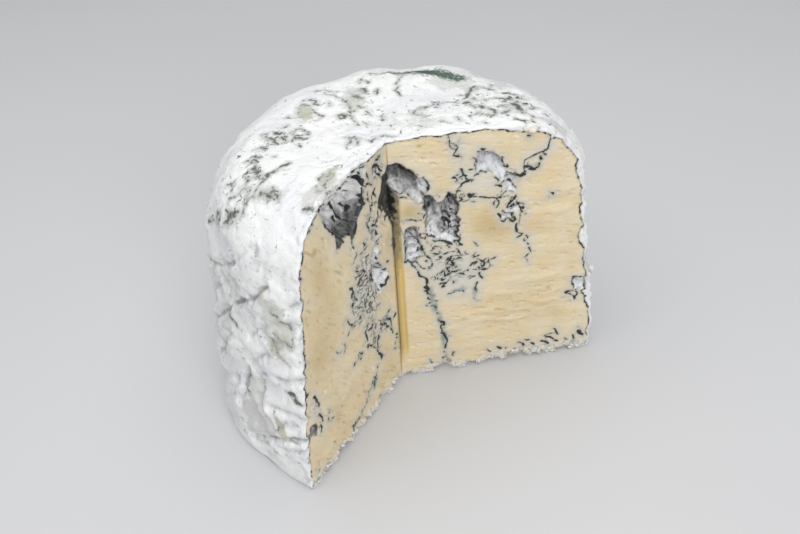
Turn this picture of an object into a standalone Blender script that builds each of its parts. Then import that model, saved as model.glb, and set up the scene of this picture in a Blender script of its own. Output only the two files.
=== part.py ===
"""A tall white-rinded blue cheese with a broad wedge cut out of it, standing on its base.

Metres, +Z up. The origin is on the wheel's own axis, in the plane that it stands on.
The two cuts meet in an upright line at CORNER. The right cut runs along +X and faces -Y,
and the left cut leaves the same line CUT_ANGLE further clockwise, seen from above.
"""
import math
import random

import bmesh
import bpy
import numpy as np
from mathutils import Vector, noise

MM = 0.001

# The wheel, as it was moulded
RADIUS = 67.5 * MM            # mean radius half-way up
HEIGHT = 108.2 * MM           # at the line where the cuts meet
FLARE = 0.209                 # how much wider the base is than the top, as a share of RADIUS
BELLY = 0.036                 # swell of the side at half height, as a share of RADIUS
SHOULDER_OUT = 28.0 * MM      # half-axes of the rounded shoulder
SHOULDER_DROP = 26.5 * MM
DOME = 1.1 * MM               # rise of the middle of the top
BASE_ROUND = 2.4 * MM         # rounding between side and base

# What ripening and its own weight did to it
EGG = 0.023                   # two-fold out of round
EGG_TURN = math.radians(59)
TRIANGLE = -0.028             # three-fold out of round
LEAN = 0.05                   # shift of the top away from the cuts
TOP_TILT = -0.043             # fall of the top away from the cuts, per height
WAVES = ((24 * MM, 0.55 * MM), (9 * MM, 0.30 * MM))   # length and height of the rind's unevenness

# The cut: its corner, seen from the wheel's axis, and the angle of the wedge that is gone
CORNER = Vector((-5.5 * MM, -9.6 * MM, 0.0))
CUT_ANGLE = math.radians(131)
RIGHT = Vector((1.0, 0.0, 0.0))
LEFT = Vector((math.cos(CUT_ANGLE), -math.sin(CUT_ANGLE), 0.0))
KNIFE_WAVE = 0.35 * MM        # unevenness of the cut faces

# Facets
WELD = 0.001 * MM
TURN_STEPS = 96
CUT_CELL = 2.7 * MM
CUT_REACH = 88 * MM           # the cutter's length along each face
CUT_THROW = 120 * MM          # and how far it sweeps to the front

# Dents and swellings of the rind: azimuth from the corner in degrees, height, size, rise (mm)
LUMPS = (
    (175, 84, 9, 0.9), (165, 95, 8, -1.1), (146, 91, 9, -1.3), (133, 94, 8, -1.0),
    (122, 99, 9, 1.0), (99, 96, 8, -1.0), (87, 100, 8, 1.0), (65, 100, 9, 1.2),
    (50, 103, 7, -1.3), (45, 94, 10, -1.9), (10, 91, 11, 1.5), (171, 24, 12, -1.1),
    (197, 62, 16, -1.0), (212, 84, 12, 0.9), (205, 34, 14, -0.8), (219, 58, 10, 0.7),
    (30, 50, 18, 0.9), (75, 40, 20, -1.0), (120, 55, 20, 1.0), (150, 60, 16, -0.9),
    (100, 70, 15, 0.8), (55, 70, 14, -0.8), (12, 30, 14, 0.7), (135, 20, 15, 0.7),
    (208, 3, 12, -1.3), (222, 20, 9, 0.6), (190, 45, 9, 0.8), (188, 76, 8, -0.8),
)
# The top's own dents: x and y from the corner, size, rise (mm)
TOP_LUMPS = (
    (20, 61, 11, -1.7), (22, 76, 8, 0.9), (24, 30, 9, -0.9), (-22, 28, 10, -0.7),
    (-45, 40, 9, 0.8), (-40, 5, 8, -0.6), (45, 15, 8, 0.5), (5, 42, 8, 0.5), (-20, 55, 9, 0.7),
)
# Hollows in the cut faces: distance from the corner, height, half-axes, turn (deg), depth (mm)
RIGHT_PITS = (
    (6.0, 91.5, 9.5, 4.6, -45, 5.5), (16.0, 76.0, 11.5, 5.6, -62, 6.5),
    (33.5, 94.5, 6.2, 4.6, -20, 4.0), (39.5, 87.5, 4.6, 3.0, -30, 2.4),
    (6.6, 65.5, 7.5, 3.2, 90, 3.0), (69.5, 33.5, 5.5, 3.2, 80, 2.2),
)
LEFT_PITS = (
    (26.0, 97.5, 12.5, 8.0, 12, 7.0), (33.0, 91.0, 5.0, 3.5, -50, 4.0),
    (9.2, 58.0, 5.2, 4.4, 45, 4.0), (56.0, 26.0, 4.2, 3.4, 10, 2.2),
    (18.5, 50.0, 17.0, 2.4, 88, 1.4),
)
FISSURE = (87 * MM, 11 * MM, 3.6 * MM, 3.2 * MM)   # in the corner: height, half length, half width, depth

# Breaks in the lower edge of the cuts: distance from the corner, half length, height, depth (mm)
RIGHT_CHIPS = (
    (3.0, 3.0, 2.0, 2.4), (16.5, 5.0, 4.4, 3.6), (27.0, 4.0, 2.4, 2.6), (36.0, 4.0, 3.2, 3.0),
    (47.5, 5.0, 3.8, 3.4), (56.0, 3.5, 2.0, 2.4), (66.0, 4.0, 1.8, 2.2),
)
LEFT_CHIPS = (
    (4.0, 3.5, 2.4, 2.6), (14.0, 3.8, 6.6, 4.2), (24.0, 4.5, 2.0, 2.4), (33.0, 4.0, 2.8, 2.8),
    (42.0, 5.0, 3.0, 3.0), (52.0, 4.0, 2.0, 2.4),
)
CHIP_RAGGED = 4.0 * MM        # length of the smaller breaks along the same edge

# What the knife left in the corner on the right cut: width, lowest and highest point, depth
KNIFE_STEP = (3.2 * MM, 7 * MM, 96 * MM, 0.9 * MM)

# Crumbs that stick to the cheese
CRUMB_COUNT = 30
CRUMB_SIZES = (0.8 * MM, 2.6 * MM)
CRUMB_SEED = 7
TOP_CRUMBS = ((48.0, 104.6, 2.3), (45.6, 105.0, 1.4), (74.4, 41.0, 1.6), (73.6, 39.0, 1.2))

PASTE_COLOUR = (0.78, 0.63, 0.37, 1.0)
PASTE_ROUGHNESS = 0.6


def clear_scene():
    for old in list(bpy.data.objects):
        bpy.data.objects.remove(old, do_unlink=True)


def new_collection(name, hidden=False):
    made = bpy.data.collections.new(name)
    made.hide_render = hidden
    bpy.context.scene.collection.children.link(made)
    return made


def make_paste_material():
    made = bpy.data.materials.new("cheese_paste")
    made.use_nodes = True
    shader = made.node_tree.nodes["Principled BSDF"]
    shader.inputs["Base Color"].default_value = PASTE_COLOUR
    shader.inputs["Roughness"].default_value = PASTE_ROUGHNESS
    return made


def object_from(name, mesh, collection):
    made = bpy.data.objects.new(name, mesh)
    collection.objects.link(made)
    return made


def evaluated_mesh(obj):
    graph = bpy.context.evaluated_depsgraph_get()
    return bpy.data.meshes.new_from_object(obj.evaluated_get(graph))


def side_share(z):
    """The side's distance from the axis at height z, as a share of RADIUS."""
    rise = z / HEIGHT
    return 1 + FLARE * (0.5 - rise) + BELLY * 4 * rise * (1 - rise)


def wheel_profile():
    """Half outline of the moulded wheel at +X, from the middle of the top to that of the base."""
    shoulder_z = HEIGHT - DOME - SHOULDER_DROP
    flat_r = side_share(shoulder_z) * RADIUS - SHOULDER_OUT
    points = []
    for share in np.linspace(0, 1, 7):
        points.append((flat_r * share, HEIGHT - DOME * share ** 2))
    for turn in np.linspace(0, math.pi / 2, 10)[1:]:
        points.append((flat_r + SHOULDER_OUT * math.sin(turn), shoulder_z + SHOULDER_DROP * math.cos(turn)))
    for z in np.linspace(shoulder_z, BASE_ROUND, 15)[1:]:
        points.append((side_share(z) * RADIUS, z))
    base_r = side_share(BASE_ROUND) * RADIUS - BASE_ROUND
    for turn in np.linspace(0, math.pi / 2, 4)[1:]:
        points.append((base_r + BASE_ROUND * math.cos(turn), BASE_ROUND * (1 - math.sin(turn))))
    points.append((base_r * 0.6, 0.0))
    points.append((0.0, 0.0))
    return points


def moulded_wheel(collection):
    """The round wheel, turned from its profile."""
    mesh = bpy.data.meshes.new("wheel_profile")
    points = wheel_profile()
    edges = [(i, i + 1) for i in range(len(points) - 1)]
    mesh.from_pydata([(r, 0.0, z) for r, z in points], edges, [])
    turned = object_from("wheel_profile", mesh, collection)
    screw = turned.modifiers.new("turn", "SCREW")
    screw.axis = "Z"
    screw.angle = 2 * math.pi
    screw.steps = TURN_STEPS
    screw.render_steps = TURN_STEPS
    screw.use_merge_vertices = True
    screw.merge_threshold = 0.00005
    wheel = evaluated_mesh(turned)
    bpy.data.objects.remove(turned)
    return wheel


def smooth(value):
    """0 below 0, 1 above 1, and a smooth step between."""
    t = np.clip(value, 0, 1)
    return t * t * (3 - 2 * t)


def bump(distance, size):
    """A round hump, 1 in its middle and nothing beyond about twice its size."""
    return np.exp(-(distance / size) ** 2)


def unevenness(points, waves):
    """Smooth noise in three dimensions: the sum of each wave's height times noise of its length."""
    found = np.zeros(len(points))
    for length, height in waves:
        found += height * np.array([noise.noise(Vector(p) / length) for p in points])
    return found


def settle(points):
    """Moves the moulded wheel's points: narrower rows draw in towards the cuts' corner, the outline
    is out of round, and the top leans and falls away to the back."""
    share = np.hypot(points[:, 0], points[:, 1]) / RADIUS
    x = points[:, 0] - CORNER.x * share
    y = points[:, 1] - CORNER.y * share
    z = points[:, 2]
    turn = np.arctan2(y, x)
    rise = z / HEIGHT
    spread = 1 + EGG * np.cos(2 * (turn - EGG_TURN)) + TRIANGLE * np.cos(3 * turn)
    spread = spread * (1 + rise * LEAN * np.sin(turn))
    x = x * spread
    y = y * spread
    z = z * (1 + TOP_TILT * y / HEIGHT)
    return np.stack([x + CORNER.x, y + CORNER.y, z], 1)


def outward(points):
    """The way the rind swells at each point: sideways low down, upwards on top."""
    core = np.zeros_like(points)
    core[:, 2] = np.clip(points[:, 2], 20 * MM, 72 * MM)
    way = points - core
    way[:, 2] *= smooth(points[:, 2] / (12 * MM))
    length = np.linalg.norm(way, axis=1)
    return way / np.maximum(length, 1e-9)[:, None]


def swelling(points):
    """How far the rind stands out at each point."""
    x = points[:, 0] - CORNER.x
    y = points[:, 1] - CORNER.y
    z = points[:, 2]
    reach = np.hypot(x, y)
    rise = unevenness(points, WAVES)
    for azimuth, height, size, out in LUMPS:
        angle = math.radians(azimuth)
        ahead = x * math.cos(angle) + y * math.sin(angle)
        across = x * math.sin(angle) - y * math.cos(angle)
        distance = np.hypot(across, z - height * MM)
        rim = smooth((reach - 30 * MM) / (20 * MM))
        rise = rise + np.where(ahead > 0, out * MM * rim * bump(distance, size * MM), 0)
    high = smooth((z - 80 * MM) / (12 * MM))
    for east, north, size, out in TOP_LUMPS:
        distance = np.hypot(x - east * MM, y - north * MM)
        rise = rise + out * MM * high * bump(distance, size * MM)
    return rise


def shape_rind(mesh):
    """Turns the moulded wheel into the cheese's own uneven form, with its base left flat."""
    count = len(mesh.vertices)
    flat = np.zeros(count * 3, np.float32)
    mesh.vertices.foreach_get("co", flat)
    points = settle(flat.reshape(-1, 3).astype(float))
    low = smooth(points[:, 2] / (4 * MM))
    on_base = np.hypot(points[:, 0], points[:, 1]) < RADIUS * 0.9
    still = np.where(on_base & (points[:, 2] < 0.5 * MM), 0.0, 1.0)
    rise = swelling(points) * still
    way = outward(points)
    way[:, 2] *= low
    points = points + way * rise[:, None]
    mesh.vertices.foreach_set("co", points.astype(np.float32).ravel())
    mesh.update()


def pit_depth(along, height, pits):
    """Depth of the flat-bottomed hollows at a point of a cut face."""
    depth = 0.0
    for pit_along, pit_height, half_long, half_short, turn, deep in pits:
        angle = math.radians(turn)
        dx = along - pit_along * MM
        dz = height - pit_height * MM
        lengthways = (dx * math.cos(angle) + dz * math.sin(angle)) / (half_long * MM)
        sideways = (dz * math.cos(angle) - dx * math.sin(angle)) / (half_short * MM)
        away = math.hypot(lengthways, sideways)
        edge = away + 0.25 * noise.noise(Vector((along, height, deep * MM)) / (4 * MM))
        depth = max(depth, deep * MM * float(smooth((1.15 - edge) / 0.45)))
    return depth


def chip_depth(along, height, side):
    """Depth of the breaks along the lower edge of a cut face."""
    ragged = noise.noise(Vector((along / CHIP_RAGGED, side * 5.0, height / CHIP_RAGGED)))
    depth = 0.0
    for chip_along, half_length, tall, deep in RIGHT_CHIPS if side > 0 else LEFT_CHIPS:
        away = math.hypot((along - chip_along * MM) / half_length, max(height, 0.0) / tall) / MM
        depth = max(depth, deep * MM * float(smooth((1.15 + 0.6 * ragged - away) / 0.6)))
    return depth


def knife_step_depth(along, height):
    """Depth of the shallow strip beside the corner, where the knife overran."""
    width, low, high, deep = KNIFE_STEP
    inside = smooth((width - along) / (1.2 * MM)) * smooth((height - low) / (3 * MM))
    return deep * float(inside * smooth((high - height) / (4 * MM)))


def cut_depth(along, height, side):
    """How far the cut face lies behind its plane, in a hollow, a chip or the knife's waves."""
    pits = RIGHT_PITS if side > 0 else LEFT_PITS
    depth = pit_depth(along, height, pits)
    middle, half_length, half_width, deep = FISSURE
    away = math.hypot((height - middle) / half_length, along / half_width)
    depth = max(depth, deep * float(smooth((1.2 - away) / 0.7)))
    depth = max(depth, chip_depth(along, height, side))
    if side > 0:
        depth = max(depth, knife_step_depth(along, height))
    knife = Vector((along / (20 * MM), height / (7 * MM), side * 3.0))
    return depth + KNIFE_WAVE * noise.noise(knife)


def cut_heights():
    """The cutter's rows: close together at the torn lower edge, wider above it."""
    rows = [-12 * MM, -2 * MM, 0.6 * MM, 1.6 * MM, 2.8 * MM, 4.4 * MM, 6.4 * MM]
    while rows[-1] < HEIGHT + 3 * MM:
        rows.append(rows[-1] + CUT_CELL)
    return rows + [HEIGHT + 14 * MM]


def make_wedge_cutter(collection):
    """The missing wedge: a sheet folded along the corner, with the hollows pushed out of it, swept to the front."""
    heights = cut_heights()
    cells = round(CUT_REACH / CUT_CELL)
    alongs = [CUT_REACH * i / cells for i in range(-cells, cells + 1)]
    shape = bmesh.new()
    bmesh.ops.create_grid(shape, x_segments=2 * cells, y_segments=len(heights) - 1, size=1.0)
    half_turn = (CUT_ANGLE / 2)
    front = Vector((math.cos(half_turn), -math.sin(half_turn), 0.0))
    right_in = Vector((0.0, 1.0, 0.0))
    left_in = Vector((-math.sin(CUT_ANGLE), -math.cos(CUT_ANGLE), 0.0))
    for vertex in shape.verts:
        column = round((vertex.co.x + 1) / 2 * 2 * cells)
        row = round((vertex.co.y + 1) / 2 * (len(heights) - 1))
        along = alongs[column]
        height = heights[row]
        way, side, into = (RIGHT, 1, right_in) if along > 0 else (LEFT, -1, left_in)
        blend = float(smooth(abs(along) / (3 * MM)))
        into = (into * blend - front * (1 - blend)).normalized()
        depth = cut_depth(abs(along), height, side)
        if along == 0:
            depth = (depth + cut_depth(0.0, height, 1)) / 2
        vertex.co = CORNER + way * abs(along) + into * depth + Vector((0, 0, height))
    swept = bmesh.ops.extrude_face_region(shape, geom=list(shape.faces))
    moved = [item for item in swept["geom"] if isinstance(item, bmesh.types.BMVert)]
    bmesh.ops.translate(shape, verts=moved, vec=front * CUT_THROW)
    bmesh.ops.recalc_face_normals(shape, faces=list(shape.faces))
    mesh = bpy.data.meshes.new("missing_wedge")
    shape.to_mesh(mesh)
    shape.free()
    cutter = object_from("missing_wedge", mesh, collection)
    cutter.hide_render = True
    cutter.display_type = "WIRE"
    return cutter


def add_crumb(collection, name, centre, size, draw):
    """A small angular scrap: a coarse ball with uneven corners."""
    mesh = bpy.data.meshes.new(name)
    shape = bmesh.new()
    bmesh.ops.create_icosphere(shape, subdivisions=1, radius=size)
    for vertex in shape.verts:
        vertex.co *= draw.uniform(0.75, 1.2)
        vertex.co.z *= 0.8
    lowest = min(vertex.co.z for vertex in shape.verts)
    lift = max(centre.z, 0.15 * MM - lowest)
    bmesh.ops.translate(shape, verts=list(shape.verts), vec=Vector((centre.x, centre.y, lift)))
    shape.to_mesh(mesh)
    shape.free()
    crumb = object_from(name, mesh, collection)
    crumb.hide_render = True
    return crumb


def make_crumbs(collection):
    """Crumbs along the foot of both cuts, and the few that cling higher up on the right."""
    draw = random.Random(CRUMB_SEED)
    for index in range(CRUMB_COUNT):
        side = 1 if index % 2 else -1
        way = RIGHT if side > 0 else LEFT
        length = 70 * MM if side > 0 else 58 * MM
        along = length * (index + draw.uniform(0.2, 0.8)) / CRUMB_COUNT
        smallest, largest = CRUMB_SIZES
        size = smallest + (largest - smallest) * draw.random() ** 2
        into = -chip_depth(along, size, side)
        face_out = Vector((0, -1, 0)) if side > 0 else Vector((math.sin(CUT_ANGLE), math.cos(CUT_ANGLE), 0))
        centre = CORNER + way * along + face_out * (into + size * 0.2)
        centre.z = size * draw.uniform(0.7, 1.6)
        add_crumb(collection, f"crumb_{index}", centre, size, draw)
    for index, (along, height, size) in enumerate(TOP_CRUMBS):
        centre = CORNER + RIGHT * along * MM + Vector((0, -0.6 * MM, height * MM))
        add_crumb(collection, f"top_crumb_{index}", centre, size * MM, draw)


def combine(cheese, operation, cutter=None, collection=None):
    """Applies one Boolean to the cheese."""
    step = cheese.modifiers.new(operation.lower(), "BOOLEAN")
    step.operation = operation
    step.solver = "EXACT"
    if collection is None:
        step.object = cutter
    else:
        step.operand_type = "COLLECTION"
        step.collection = collection
    mesh = evaluated_mesh(cheese)
    cheese.modifiers.remove(step)
    cheese.data = mesh


def drop_flaps(shape):
    """Deletes pairs of faces that lie back to back on the same corners and enclose nothing."""
    by_corners = {}
    for face in shape.faces:
        by_corners.setdefault(frozenset(face.verts), []).append(face)
    flaps = [face for pair in by_corners.values() if len(pair) == 2 for face in pair]
    bmesh.ops.delete(shape, geom=flaps, context="FACES")


def finish_surface(cheese):
    """Welds stray points, and shades the soft forms smooth and the torn edges sharp."""
    shape = bmesh.new()
    shape.from_mesh(cheese.data)
    bmesh.ops.remove_doubles(shape, verts=list(shape.verts), dist=WELD)
    bmesh.ops.triangulate(shape, faces=list(shape.faces))
    drop_flaps(shape)
    shape.to_mesh(cheese.data)
    shape.free()
    cheese.data.shade_smooth()
    cheese.data.set_sharp_from_angle(angle=math.radians(50))


def main():
    clear_scene()
    parts = new_collection("blue_cheese")
    cutters = new_collection("cutters", hidden=True)
    crumbs = new_collection("crumbs", hidden=True)
    wheel = moulded_wheel(cutters)
    shape_rind(wheel)
    cheese = object_from("cheese", wheel, parts)
    combine(cheese, "DIFFERENCE", cutter=make_wedge_cutter(cutters))
    make_crumbs(crumbs)
    combine(cheese, "UNION", collection=crumbs)
    for crumb in list(crumbs.objects):
        bpy.data.objects.remove(crumb)
    finish_surface(cheese)
    cheese.data.materials.clear()
    cheese.data.materials.append(make_paste_material())


main()
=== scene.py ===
import math
import random
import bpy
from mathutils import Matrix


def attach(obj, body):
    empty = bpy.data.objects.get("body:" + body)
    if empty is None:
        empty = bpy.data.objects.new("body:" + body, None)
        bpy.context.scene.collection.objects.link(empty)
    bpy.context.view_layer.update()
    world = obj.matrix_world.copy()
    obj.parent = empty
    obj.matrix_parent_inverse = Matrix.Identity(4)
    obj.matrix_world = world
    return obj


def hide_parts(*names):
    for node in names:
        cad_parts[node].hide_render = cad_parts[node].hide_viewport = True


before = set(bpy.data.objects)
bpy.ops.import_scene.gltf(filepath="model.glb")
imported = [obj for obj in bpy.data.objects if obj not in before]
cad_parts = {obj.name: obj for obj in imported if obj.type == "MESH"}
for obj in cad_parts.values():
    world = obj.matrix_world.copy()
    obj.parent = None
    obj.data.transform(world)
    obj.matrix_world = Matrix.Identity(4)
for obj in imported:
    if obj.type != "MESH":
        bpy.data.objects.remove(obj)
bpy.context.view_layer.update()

from types import SimpleNamespace

import bmesh
import bpy
import numpy as np
from mathutils import Matrix, Vector, noise

MM = 0.001
TINY = 1e-12                            # stands in for a length of zero where something is divided by it

# The wheel: the same driving sizes as the solid's. All lengths are in millimetres, apart from those of
# the floor, the lamps and the nearest thing that the camera sees.
RADIUS = 67.5
HEIGHT = 108.2
FLARE = 0.209
BELLY = 0.036
SHOULDER_OUT = 28.0
SHOULDER_DROP = 26.5
DOME = 1.1
BASE_ROUND = 2.4
EGG = 0.023
EGG_TURN = math.radians(59)
TRIANGLE = -0.028
LEAN = 0.05
TOP_TILT = -0.043
WAVES = ((24, 0.55), (9, 0.30))

CORNER = np.array([-5.5, -9.6])
CUT_ANGLE = math.radians(131)
TURN = 2 * math.pi - CUT_ANGLE          # how far the cheese goes round
SKEW = math.tan(math.radians(24.5))     # sideways shift, per depth, that keeps the corner in one line
RIGHT_WAY = np.array([1.0, 0.0])
RIGHT_IN = np.array([0.0, 1.0])
LEFT_WAY = np.array([math.cos(CUT_ANGLE), -math.sin(CUT_ANGLE)])
LEFT_IN = np.array([-math.sin(CUT_ANGLE), -math.cos(CUT_ANGLE)])

# Dents and swellings of the rind: azimuth from the corner in degrees, height, size, rise
LUMPS = (
    (175, 84, 9, 0.9), (165, 95, 8, -1.1), (146, 91, 9, -1.3), (133, 94, 8, -1.0),
    (122, 99, 9, 1.0), (99, 96, 8, -1.0), (87, 100, 8, 1.0), (65, 100, 9, 1.2),
    (50, 103, 7, -1.3), (45, 94, 10, -1.9), (10, 91, 11, 1.5), (171, 24, 12, -1.1),
    (197, 62, 16, -1.0), (212, 84, 12, 0.9), (205, 34, 14, -0.8), (219, 58, 10, 0.7),
    (30, 50, 18, 0.9), (75, 40, 20, -1.0), (120, 55, 20, 1.0), (150, 60, 16, -0.9),
    (100, 70, 15, 0.8), (55, 70, 14, -0.8), (12, 30, 14, 0.7), (135, 20, 15, 0.7),
    (208, 3, 12, -1.3), (222, 20, 9, 0.6), (190, 45, 9, 0.8), (188, 76, 8, -0.8),
)
TOP_LUMPS = (
    (20, 61, 11, -1.7), (22, 76, 8, 0.9), (24, 30, 9, -0.9), (-22, 28, 10, -0.7),
    (-45, 40, 9, 0.8), (-40, 5, 8, -0.6), (45, 15, 8, 0.5), (5, 42, 8, 0.5), (-20, 55, 9, 0.7),
)

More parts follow.
